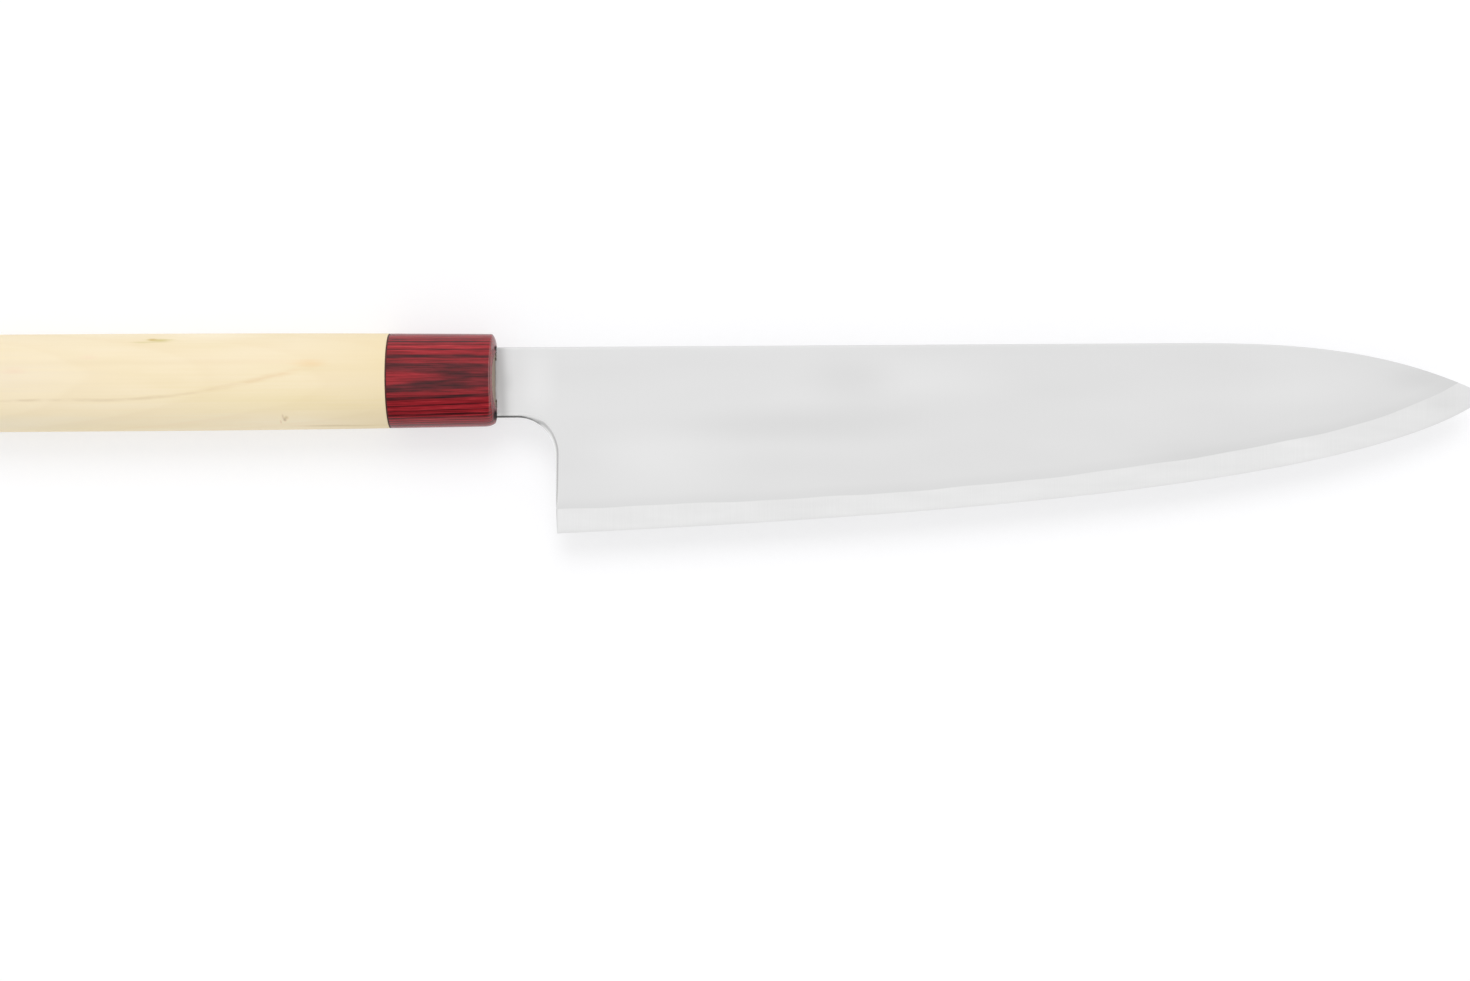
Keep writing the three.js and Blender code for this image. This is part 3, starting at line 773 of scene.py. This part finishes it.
spread = add(tree, "Math", {0: climb, 1: STREAK_SPREAD, 2: STREAK_WIDTH}, operation="MULTIPLY_ADD")
streak = add(
    tree,
    "MapRange",
    {
        "Value": off_streak.outputs[0],
        "From Min": STREAK_CORE,
        "From Max": spread.outputs[0],
        "To Min": 1.0,
        "To Max": 0.0,
    },
)
gaps = add(tree, "TexNoise", {"Vector": in_millimetres(tree, STREAK_GAPS), "Scale": 1.0, "Detail": 2.0})
gaps = add(
    tree,
    "MapRange",
    {"Value": gaps.outputs["Fac"], "From Min": 0.38, "From Max": 0.6, "To Min": 0.25},
)
streak = add(tree, "Math", {0: streak.outputs["Result"], 1: gaps.outputs["Result"]}, operation="MULTIPLY")
off_second = add(tree, "Math", {0: wobble.outputs[0], 1: SECOND_STREAK}, operation="SUBTRACT")
off_second = add(tree, "Math", {0: off_second.outputs[0]}, operation="ABSOLUTE")
second = add(
    tree,
    "MapRange",
    {
        "Value": off_second.outputs[0],
        "From Min": STREAK_CORE,
        "From Max": SECOND_WIDTH,
        "To Min": 0.25,
        "To Max": 0.0,
    },
)
lines = add(tree, "Math", {0: streak.outputs[0], 1: second.outputs["Result"]}, operation="MAXIMUM")
on_face = add(tree, "MapRange", {"Value": axes["Z"], "From Min": STREAK_FACE[0], "From Max": STREAK_FACE[1]})
behind_end = add(
    tree,
    "MapRange",
    {
        "Value": axes["X"],
        "From Min": STREAK_END - STREAK_FADE[0],
        "From Max": STREAK_END + STREAK_FADE[1],
        "To Min": 1.0,
        "To Max": 0.0,
    },
)
lines = add(tree, "Math", {0: lines.outputs[0], 1: on_face.outputs["Result"]}, operation="MULTIPLY")
lines = add(tree, "Math", {0: lines.outputs[0], 1: behind_end.outputs["Result"]}, operation="MULTIPLY")

# The colours: cream from fibre and patches, lighter towards the edge's side and darker towards the spine's
# side as painted light and shade, and over it the rings, the ring line, the darker wood at the seam, the
# browner end of the tenon, end grain with painted shade, and the marks.
grain = add(tree, "Math", {0: patch.outputs["Fac"], 1: 0.75}, operation="MULTIPLY")
grain = add(tree, "Math", {0: fibre.outputs["Fac"], 1: 0.25, 2: grain.outputs[0]}, operation="MULTIPLY_ADD")
pale = add(
    tree,
    "ValToRGB",
    {"Fac": grain.outputs[0]},
    stops=[(0.3, colour("#f3e2bb")), (0.5, colour("#f7e7c5")), (0.7, colour("#f9eacb"))],
)
# Painted light and shade: the cream is lifted on the edge's side and lowered on the spine's side.
painted_fill_and_shade = add(
    tree,
    "MapRange",
    {
        "Value": axes["Y"],
        "From Min": -PAINTED_FILL_REACH,
        "From Max": PAINTED_FILL_REACH,
        "To Min": 1.11,
        "To Max": 0.945,
    },
)
pale = add(
    tree,
    "VectorMath",
    {0: pale.outputs["Color"], "Scale": painted_fill_and_shade.outputs["Result"]},
    operation="SCALE",
)
faint = add(tree, "Math", {0: ring_line.outputs["Color"], 1: 0.16}, operation="MULTIPLY")
ringed = add(
    tree,
    "Mix",
    {"Factor": faint.outputs[0], 6: pale.outputs[0], 7: colour("#e4c99a")},
    data_type="RGBA",
)
faded = add(tree, "Math", {0: patch.outputs["Fac"], 1: 0.78}, operation="MULTIPLY")
drawn = add(tree, "Math", {0: lines.outputs[0], 1: faded.outputs[0]}, operation="MULTIPLY")
streak_tint = add(
    tree,
    "Mix",
    {"Factor": climb, 6: colour("#dcc59d"), 7: colour("#f0c993")},
    data_type="RGBA",
)
streaked = add(
    tree,
    "Mix",
    {"Factor": drawn.outputs[0], 6: ringed.outputs[2], 7: streak_tint.outputs[2]},
    data_type="RGBA",
)
# Darker towards the seam with the ferrule.
near_seam = add(
    tree,
    "MapRange",
    {"Value": axes["X"], "From Min": SEAM_X - SEAM_SHADE, "From Max": SEAM_X, "To Max": 0.45},
)
darker_at_seam = add(
    tree,
    "Mix",
    {"Factor": near_seam.outputs["Result"], 6: streaked.outputs[2], 7: colour("#ecd8ab")},
    data_type="RGBA",
)
# End grain and painted shade: the tenon's end turns a greyer brown within this reach of the front.
end_grain_and_shade_share = add(
    tree,
    "MapRange",
    {"Value": axes["X"], "From Min": -TENON_SHADE[0], "From Max": -TENON_SHADE[1], "To Max": 0.85},
)
end_grain_and_shade = add(
    tree,
    "Mix",
    {"Factor": end_grain_and_shade_share.outputs["Result"], 6: darker_at_seam.outputs[2], 7: colour("#98857a")},
    data_type="RGBA",
)
coat = end_grain_and_shade.outputs[2]
rag = add(tree, "MapRange", {"Value": fibre.outputs["Fac"], "To Min": -0.4, "To Max": 0.5})
for centre, size, tint, share in WOOD_MARKS:
    mark = spot(tree, here, centre, size, rag.outputs["Result"])
    mark = add(tree, "Math", {0: mark, 1: share}, operation="MULTIPLY").outputs[0]
    coat = add(tree, "Mix", {"Factor": mark, 6: coat, 7: colour(tint)}, data_type="RGBA").outputs[2]
pores = add(tree, "Bump", {"Height": fibre.outputs["Fac"], "Strength": 0.15, "Distance": 0.05 * MM})
tree.links.new(coat, shader.inputs["Base Color"])
tree.links.new(pores.outputs["Normal"], shader.inputs["Normal"])
shader.inputs["Roughness"].default_value = 0.55
shader.inputs["IOR"].default_value = 1.45

butt_turn = BUTT_X + BUTT_ROUNDING
seam_turn = SEAM_X - SEAM_ROUNDING
grip_x = np.linspace(butt_turn, SEAM_X, 40)[1:-1]
grip = np.vstack(
    [
        np.stack([np.full_like(BUTT_RINGS, BUTT_X), BUTT_RINGS], -1),
        rounding(butt_turn, oval_half(butt_turn) - BUTT_ROUNDING, BUTT_ROUNDING, 180, 90, 13),
        np.stack([grip_x, oval_half(grip_x)], -1),
        rounding(seam_turn, oval_half(SEAM_X) - SEAM_ROUNDING, SEAM_ROUNDING, 90, 0, SEAM_STEPS),
    ]
)
tenon_rim = loop(TENON_RADIUS, TENON_RADIUS)
tenon_face = loop(TENON_RADIUS - TENON_EASE, TENON_RADIUS - TENON_EASE)
turned = np.concatenate(
    [
        rings(ovals(grip)),
        rings([[SEAM_X, TENON_RADIUS, TENON_RADIUS, ROUND]]),
        sanded_front(tenon_rim, tenon_rim, 1, TENON_RECESS + TENON_EASE),
        sanded_front(tenon_face, loop(*SLOT_HALF, SLOT_SQUARE), 7, TENON_RECESS),
        rings([[-SLOT_DEPTH, *SLOT_HALF, SLOT_SQUARE], [-SLOT_DEPTH, 0, 0, ROUND]]),
    ]
)
handle = skin("handle_body_magnolia", turned, wood_look, "handle_wood")
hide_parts("handle_body")

# Glue line
# The thin film of dark glue between grip and ferrule. It squeezes out as the two are pressed together over
# the tenon and is sanded off a hair below the surface, so it reads as a dark line.
GLUE_SPREAD = 0.03
GLUE_FRONT_X = (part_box("ferrule_glue_line")[1].x - FERRULE_FACE_X) / MM + GLUE_SPREAD
GLUE_BACK_X = (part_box("ferrule_glue_line")[0].x - FERRULE_FACE_X) / MM - GLUE_SPREAD
GLUE_RECESS = 0.03
BORE_FIT = 0.05
BORE_RADIUS = TENON_RADIUS + BORE_FIT

# Wood glue, set hard and tinted by the dye of the ferrule: a dull red-brown, a little lighter in smears.
GLUE_SMEAR = (1.5, 1.5, 1.5)

glue_look, tree, shader = material("dark_wood_glue")
smear = add(tree, "TexNoise", {"Vector": in_millimetres(tree, GLUE_SMEAR), "Scale": 1.0, "Detail": 2.0})
tone = add(
    tree,
    "ValToRGB",
    {"Fac": smear.outputs["Fac"]},
    stops=[(0.35, colour("#3f130d")), (0.7, colour("#5e241a"))],
)
tree.links.new(tone.outputs["Color"], shader.inputs["Base Color"])
shader.inputs["Roughness"].default_value = 0.5


def collar(shell, back_x):
    """A ring-shaped piece: rings from its back over the outside to the front of its bore, then the back of
    the bore, and the first ring again."""
    return np.concatenate([shell, rings([[back_x, BORE_RADIUS, BORE_RADIUS, ROUND]]), shell[:1]])


film_x = np.array([GLUE_BACK_X, GLUE_FRONT_X])
film = ovals(np.stack([film_x, oval_half(film_x) - GLUE_RECESS], -1))
film = rings(np.vstack([film, [GLUE_FRONT_X, BORE_RADIUS, BORE_RADIUS, ROUND]]))
glue = skin("ferrule_glue_line_dark", collar(film, GLUE_BACK_X), glue_look, "dark_glue")
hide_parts("ferrule_glue_line")

# Ferrule
# The collar that keeps the grip from splitting: thin sheets of wood dyed red, pressed with resin into one
# block, bored for the tenon, glued on, and shaped and buffed flush with the grip. Its front arris is
# rounded, most of all on the edge's side.
FERRULE_BACK_X = (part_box("ferrule")[0].x - FERRULE_FACE_X) / MM
ARRIS_TURN = 65.0
ARRIS_LENGTH = (0.5, 3.0)
ARRIS_DEPTH = (0.35, 1.5)
ARRIS_POWER = 4
ARRIS_LEAD = 0.2

# Beech veneers dyed dark red and pressed with resin: red sheets with long fibre streaks, parted by thin,
# nearly black layers. Near the crown the surface runs almost along the sheets, so a dark layer spreads into
# blotches. The buffed resin gives a gloss, and arris and front are painted paler: a painted highlight on the
# arris and a painted reflection on the front. The fibres are drawn coarser than real ones, which are some
# hundredths of a millimetre wide.
ARRIS_HIGHLIGHT = 0.55
ARRIS_HIGHLIGHT_AT = 32.0
ARRIS_HIGHLIGHT_SPAN = 17.0
ARRIS_HIGHLIGHT_SHELTER = 1.3
FRONT_PAINTED_SHEEN = 0.4
PLY_SET = 3.3
PLIES_PER_SET = 11
PLY_JOINT = 9.45
PLY_LEAN = 0.06
PLY_TWIST = 0.00115
PLY_SWAY = 0.12
PLY_WAVE = (14.0, 4.0, 4.0)
PLY_FIBRE = (9.0, 0.4, 0.22)
PLY_BLOTCH = (8.0, 1.8, 0.6)

# At both ends of the slot the front is painted dark, as painted shade in the corners beside the blade's
# neck: centre and half size of each patch.
SLOT_PAINTED_SHADE = (
    ((0.1, -9.2, 2.4), (1.0, 2.3, 6.4)),
    ((0.2, 8.1, 1.4), (0.8, 1.0, 4.4)),
)

ply_look, tree, shader = material("dyed_laminated_wood")
here = in_millimetres(tree)
axes = add(tree, "SeparateXYZ", {"Vector": here}).outputs
lean = add(tree, "Math", {0: axes["X"], 1: PLY_TWIST, 2: PLY_LEAN}, operation="MULTIPLY_ADD")
depth = add(tree, "Math", {0: axes["Y"], 1: lean.outputs[0], 2: axes["Z"]}, operation="MULTIPLY_ADD")
sway = add(tree, "TexNoise", {"Vector": in_millimetres(tree, PLY_WAVE), "Scale": 1.0, "Detail": 2.0})
fibre = add(tree, "TexNoise", {"Vector": in_millimetres(tree, PLY_FIBRE), "Scale": 1.0, "Detail": 3.0})
blotch = add(tree, "TexNoise", {"Vector": in_millimetres(tree, PLY_BLOTCH), "Scale": 1.0, "Detail": 2.0})
streaks = add(tree, "MapRange", {"Value": fibre.outputs["Fac"], "From Min": 0.37, "From Max": 0.63})
streaks = streaks.outputs["Result"]
patches = add(tree, "MapRange", {"Value": blotch.outputs["Fac"], "From Min": 0.35, "From Max": 0.65})
patches = patches.outputs["Result"]
wavy = add(
    tree,
    "Math",
    {0: sway.outputs["Fac"], 1: PLY_SWAY, 2: depth.outputs[0]},
    operation="MULTIPLY_ADD",
)
stack = add(tree, "Math", {0: wavy.outputs[0], 1: PLY_JOINT + PLY_SWAY / 2}, operation="SUBTRACT")
stack = add(tree, "Math", {0: stack.outputs[0], 1: PLY_SET}, operation="DIVIDE")
sheet = add(tree, "Math", {0: stack.outputs[0], 1: PLIES_PER_SET}, operation="MULTIPLY")
sheet = add(tree, "Math", {0: sheet.outputs[0]}, operation="FLOOR")
within = add(tree, "Math", {0: stack.outputs[0]}, operation="FRACT")
own = add(tree, "TexWhiteNoise", {"W": sheet.outputs[0]}, noise_dimensions="1D")
mixed = add(tree, "Math", {0: own.outputs["Value"], 1: 0.4}, operation="MULTIPLY")
mixed = add(tree, "Math", {0: streaks, 1: 0.4, 2: mixed.outputs[0]}, operation="MULTIPLY_ADD")
mixed = add(tree, "Math", {0: patches, 1: 0.2, 2: mixed.outputs[0]}, operation="MULTIPLY_ADD")
tone = add(
    tree,
    "ValToRGB",
    {"Fac": mixed.outputs[0]},
    stops=[
        (0.1, colour("#620d15")),
        (0.35, colour("#86151e")),
        (0.6, colour("#9c1e28")),
        (0.9, colour("#c0333a")),
    ],
)

# The dark layers of a set of sheets, at their shares of its thickness.
joint = add(
    tree,
    "ValToRGB",
    {"Fac": within.outputs[0]},
    stops=[
        (0.0, grey(1.0)),
        (0.045, grey(0.95)),
        (0.07, grey(0.0)),
        (0.215, grey(0.0)),
        (0.235, grey(0.9)),
        (0.265, grey(0.9)),
        (0.285, grey(0.0)),
        (0.465, grey(0.0)),
        (0.485, grey(0.9)),
        (0.52, grey(0.9)),
        (0.54, grey(0.0)),
        (0.72, grey(0.0)),
        (0.745, grey(1.0)),
        (0.805, grey(1.0)),
        (0.83, grey(0.0)),
        (0.93, grey(0.0)),
        (0.955, grey(0.95)),
        (1.0, grey(1.0)),
    ],
)
broken = add(tree, "MapRange", {"Value": patches, "To Min": 1.0, "To Max": 0.7}).outputs["Result"]
joint = add(tree, "Math", {0: joint.outputs["Color"], 1: broken}, operation="MULTIPLY").outputs[0]
resin = add(
    tree,
    "Mix",
    {"Factor": streaks, 6: colour("#2c060a"), 7: colour("#54121b")},
    data_type="RGBA",
)
layered = add(
    tree,
    "Mix",
    {"Factor": joint, 6: tone.outputs["Color"], 7: resin.outputs[2]},
    data_type="RGBA",
)
# Painted highlight on the arris and painted reflection on the front, carried by the arris attribute.
painted_highlight = add(tree, "Attribute", attribute_name="arris").outputs["Fac"]
painted_highlight = add(tree, "Math", {0: painted_highlight, 1: ARRIS_HIGHLIGHT}, operation="MULTIPLY").outputs[0]
coat = add(
    tree,
    "Mix",
    {"Factor": painted_highlight, 6: layered.outputs[2], 7: colour("#b98a88")},
    data_type="RGBA",
)
shade_rag = add(tree, "MapRange", {"Value": sway.outputs["Fac"], "To Min": -0.3, "To Max": 0.35})
painted_slot_shade = 0.0
for centre, size in SLOT_PAINTED_SHADE:
    shade_patch = spot(tree, here, centre, size, shade_rag.outputs["Result"])
    painted_slot_shade = add(tree, "Math", {0: shade_patch, 1: painted_slot_shade}, operation="MAXIMUM").outputs[0]
painted_slot_shade = add(tree, "MapRange", {"Value": painted_slot_shade, "From Max": 0.7}).outputs["Result"]
# Painted shade: the ferrule's front goes nearly black in the corners beside the neck, and rougher there.
coat = add(
    tree,
    "Mix",
    {"Factor": painted_slot_shade, 6: coat.outputs[2], 7: colour("#1c0a0b")},
    data_type="RGBA",
)
painted_shade_dull = add(tree, "MapRange", {"Value": painted_slot_shade, "To Min": 0.22, "To Max": 0.7}).outputs["Result"]
tree.links.new(painted_shade_dull, shader.inputs["Roughness"])
lap = add(tree, "Bump", {"Height": fibre.outputs["Fac"], "Strength": 0.08, "Distance": 0.04 * MM})
tree.links.new(coat.outputs[2], shader.inputs["Base Color"])
tree.links.new(lap.outputs["Normal"], shader.inputs["Normal"])
shader.inputs["IOR"].default_value = 1.4

# The arris between side and front is a stretch of an ellipse, longer and deeper on the edge's side. Its
# painted highlight is a bell curve over its turn, strongest at the crown, and the front gets a fainter
# painted reflection.
low_side = np.clip(-np.cos(TURN), 0, 1) ** ARRIS_POWER
arris_long, arris_deep = (near + (far - near) * low_side for near, far in (ARRIS_LENGTH, ARRIS_DEPTH))
angle = np.radians(np.linspace(0, ARRIS_TURN, 9))[:, None]
inset = arris_deep * (1 - np.cos(angle))
meeting = loop(FRONT_HALF - inset[-1], (FRONT_HALF - inset[-1]) * OVAL)
arris_x = front_x(*meeting) - arris_long * (np.sin(angle[-1]) - np.sin(angle))
arris_half = oval_half(arris_x) - inset
back_turn = FERRULE_BACK_X + SEAM_ROUNDING
side_x = back_turn + (arris_x[0] - back_turn) * np.linspace(0, 1, 14)[1:-1, None]
side_x = np.vstack([side_x, arris_x[0] - ARRIS_LEAD])
back_half = oval_half(back_turn) - SEAM_ROUNDING
band = np.concatenate(
    [
        rings(ovals(rounding(back_turn, back_half, SEAM_ROUNDING, 180, 90, SEAM_STEPS))),
        place(side_x, *loop(oval_half(side_x), oval_half(side_x) * OVAL)),
        place(arris_x, *loop(arris_half, arris_half * OVAL)),
        sanded_front(meeting, loop(BORE_RADIUS, BORE_RADIUS), 14)[1:],
    ]
)
band = collar(band, FERRULE_BACK_X)
arris = np.zeros(band.shape[:2])
first = SEAM_STEPS + len(side_x)
near_crown = np.sin(TURN) ** 2 * np.clip(1 - ARRIS_HIGHLIGHT_SHELTER * low_side, 0, 1)
bell = np.exp(-(((np.degrees(angle) - ARRIS_HIGHLIGHT_AT) / ARRIS_HIGHLIGHT_SPAN) ** 2))
arris[first : first + len(angle)] = near_crown * bell
arris[first + len(angle) : -2] = FRONT_PAINTED_SHEEN * near_crown
ferrule = skin("ferrule_laminated", band, ply_look, "ferrule_laminated_wood", arris=arris)
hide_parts("ferrule")

# Tang bedding
# The brown resin that the tang is set in. It fills the slot and shows only as a thin line between the blade
# and the end of the tenon, so the solid of the frame keeps its shape and gets the resin's finish.

# Resin, poured in hot and set with wood dust in it: dull, brown and speckled.
RESIN_SPECK = (0.8, 0.8, 0.8)

resin_look, tree, shader = material("bedding_resin")
speck = add(tree, "TexNoise", {"Vector": in_millimetres(tree, RESIN_SPECK), "Scale": 1.0, "Detail": 3.0})
tone = add(
    tree,
    "ValToRGB",
    {"Fac": speck.outputs["Fac"]},
    stops=[(0.35, colour("#2e1c12")), (0.7, colour("#5b3b26"))],
)
tree.links.new(tone.outputs["Color"], shader.inputs["Base Color"])
shader.inputs["Roughness"].default_value = 0.6
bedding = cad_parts["tang_bedding"]
bedding.data.materials.clear()
bedding.data.materials.append(resin_look)

# Floor, light and camera
# The knife lies on a plain white surface under soft light from above, a little stronger from the spine's
# side. The camera looks straight down.
FLOOR_SIZE = 4.0
FLOOR_GLOW = 0.58
FLOOR_MATT = "#b3b3b5"
FLOOR_BOUNCE = 0.9
ROOM_LEVEL = 0.73
DARK_FRONT = (-0.36, -0.7, 0.92)
FRONT_BUTT_FADE = (-0.55, -0.25, 0.25)
FRONT_TIP_FADE = (0.3, 0.6, 0.25)
DARK_CORNERS = ((-0.6, -0.1, 0.79), (-0.42, -0.42, 0.8))
CORNER_SPREAD = (0.955, 0.99, 0.42)
DARK_END = ((0.12, 0.42, 0.1), (0.6, 0.85, 0.8))
LAMP_LEVEL = 1.0
LAMP_TILT = 37.0
LAMP_SPREAD = 34.0
CAMERA_FOOT = (61.4, -28.8)
CAMERA_HEIGHT = 613.0
CAMERA_ROLL = 0.368
PIXELS_PER_MM = 3.882
PHOTO_WIDTH = 1470

# White paper. To the camera and in reflections it is a grey that takes the shadow, lifted to white by a
# glow. To all other rays it is plain white, so it throws the light of a white surface on the knife.
floor_look = bpy.data.materials.new("white_floor")
floor_look.use_nodes = True
tree = floor_look.node_tree
tree.nodes.clear()
path = add(tree, "LightPath").outputs
seen = add(tree, "Math", {0: path["Is Camera Ray"], 1: path["Is Glossy Ray"]}, operation="MAXIMUM")
seen = add(tree, "Math", {0: seen.outputs[0], 1: path["Is Transmission Ray"]}, operation="MAXIMUM")
tint = add(
    tree,
    "Mix",
    {"Factor": seen.outputs[0], 6: grey(FLOOR_BOUNCE), 7: colour(FLOOR_MATT)},
    data_type="RGBA",
)
glow = add(tree, "Math", {0: seen.outputs[0], 1: FLOOR_GLOW}, operation="MULTIPLY")
matt = add(tree, "BsdfDiffuse", {"Color": tint.outputs[2]})
white = add(tree, "Emission", {"Color": grey(1.0), "Strength": glow.outputs[0]})
both = add(tree, "AddShader", {0: matt.outputs[0], 1: white.outputs[0]})
add(tree, "OutputMaterial", {"Surface": both.outputs[0]})
corner = FLOOR_SIZE / 2
floor_mesh = bpy.data.meshes.new("floor")
floor_mesh.from_pydata(
    [(-corner, -corner, 0), (corner, -corner, 0), (corner, corner, 0), (-corner, corner, 0)],
    [],
    [(0, 1, 2, 3)],
)
floor_mesh.materials.append(floor_look)
floor = bpy.data.objects.new("floor", floor_mesh)
bpy.context.scene.collection.objects.link(floor)

# A white room that lights the knife evenly. In reflections it has dark sides, which give the polished steel
# its shades: a wall in front of the edge that fades to butt and tip, two corners over the butt, and the end
# beyond the tip. Each is given by the share of a direction where it starts, where it is full, and its depth.
# A fade is given by where it starts, where it ends, and the share of the wall's depth that it leaves.
world = bpy.data.worlds.new("soft_room")
world.use_nodes = True
bpy.context.scene.world = world
tree = world.node_tree
tree.nodes.clear()
path = add(tree, "LightPath").outputs
facing = add(tree, "TexCoord").outputs["Generated"]
way = add(tree, "SeparateXYZ", {"Vector": facing}).outputs
start, full, share = DARK_FRONT
front = add(tree, "MapRange", {"Value": way["Y"], "From Min": start, "From Max": full, "To Max": share})
start, full, share = FRONT_BUTT_FADE
to_butt = add(tree, "MapRange", {"Value": way["X"], "From Min": start, "From Max": full, "To Min": share})
start, full, share = FRONT_TIP_FADE
to_tip = add(
    tree,
    "MapRange",
    {"Value": way["X"], "From Min": start, "From Max": full, "To Min": 1.0, "To Max": share},
)
dark = add(tree, "Math", {0: front.outputs["Result"], 1: to_butt.outputs["Result"]}, operation="MULTIPLY")
dark = add(tree, "Math", {0: dark.outputs[0], 1: to_tip.outputs["Result"]}, operation="MULTIPLY").outputs[0]
start, full, share = CORNER_SPREAD
for bearing in DARK_CORNERS:
    near = add(tree, "VectorMath", {0: facing, 1: bearing}, operation="DOT_PRODUCT").outputs["Value"]
    near = add(tree, "MapRange", {"Value": near, "From Min": start, "From Max": full, "To Max": share})
    dark = add(tree, "Math", {0: dark, 1: near.outputs["Result"]}, operation="MAXIMUM").outputs[0]
for start, full, share in DARK_END:
    end = add(tree, "MapRange", {"Value": way["X"], "From Min": start, "From Max": full, "To Max": share})
    dark = add(tree, "Math", {0: dark, 1: end.outputs["Result"]}, operation="MAXIMUM").outputs[0]
room = add(tree, "Math", {0: 1.0, 1: dark}, operation="SUBTRACT")
plain = add(tree, "Math", {0: room.outputs[0], 1: path["Is Camera Ray"]}, operation="MAXIMUM")
seen = add(tree, "Math", {0: path["Is Camera Ray"], 1: path["Is Glossy Ray"]}, operation="MAXIMUM")
seen = add(tree, "Math", {0: seen.outputs[0], 1: path["Is Transmission Ray"]}, operation="MAXIMUM")
shining = add(tree, "Background", {"Color": grey(1.0), "Strength": ROOM_LEVEL})
shown = add(tree, "Background", {"Color": grey(1.0), "Strength": plain.outputs[0]})
both = add(tree, "MixShader", {0: seen.outputs[0], 1: shining.outputs[0], 2: shown.outputs[0]})
add(tree, "OutputWorld", {"Surface": both.outputs[0]})

# A wide, soft lamp on the spine's side. Polished steel doesn't mirror it.
lamp_data = bpy.data.lights.new("window_light", "SUN")
lamp_data.energy = LAMP_LEVEL
lamp_data.angle = np.radians(LAMP_SPREAD)
lamp = bpy.data.objects.new("window_light", lamp_data)
lamp.rotation_euler = (-np.radians(LAMP_TILT), 0, 0)
lamp.visible_glossy = False
bpy.context.scene.collection.objects.link(lamp)

# The camera is level over the blade. Its lens follows from the photograph's width in pixels and its scale.
camera_data = bpy.data.cameras.new("camera")
camera_data.sensor_width = 36.0
camera_data.lens = camera_data.sensor_width * PIXELS_PER_MM * CAMERA_HEIGHT / PHOTO_WIDTH
camera_data.clip_start = 0.01
camera_data.clip_end = 20.0
camera = bpy.data.objects.new("camera", camera_data)
camera.location = place(*(np.array(value) for value in (*CAMERA_FOOT, CAMERA_HEIGHT)))
camera.rotation_euler = (0, 0, -np.radians(CAMERA_ROLL))
bpy.context.scene.collection.objects.link(camera)
bpy.context.scene.camera = camera
bpy.context.scene.view_settings.view_transform = "Standard"

bpy.context.view_layer.update()
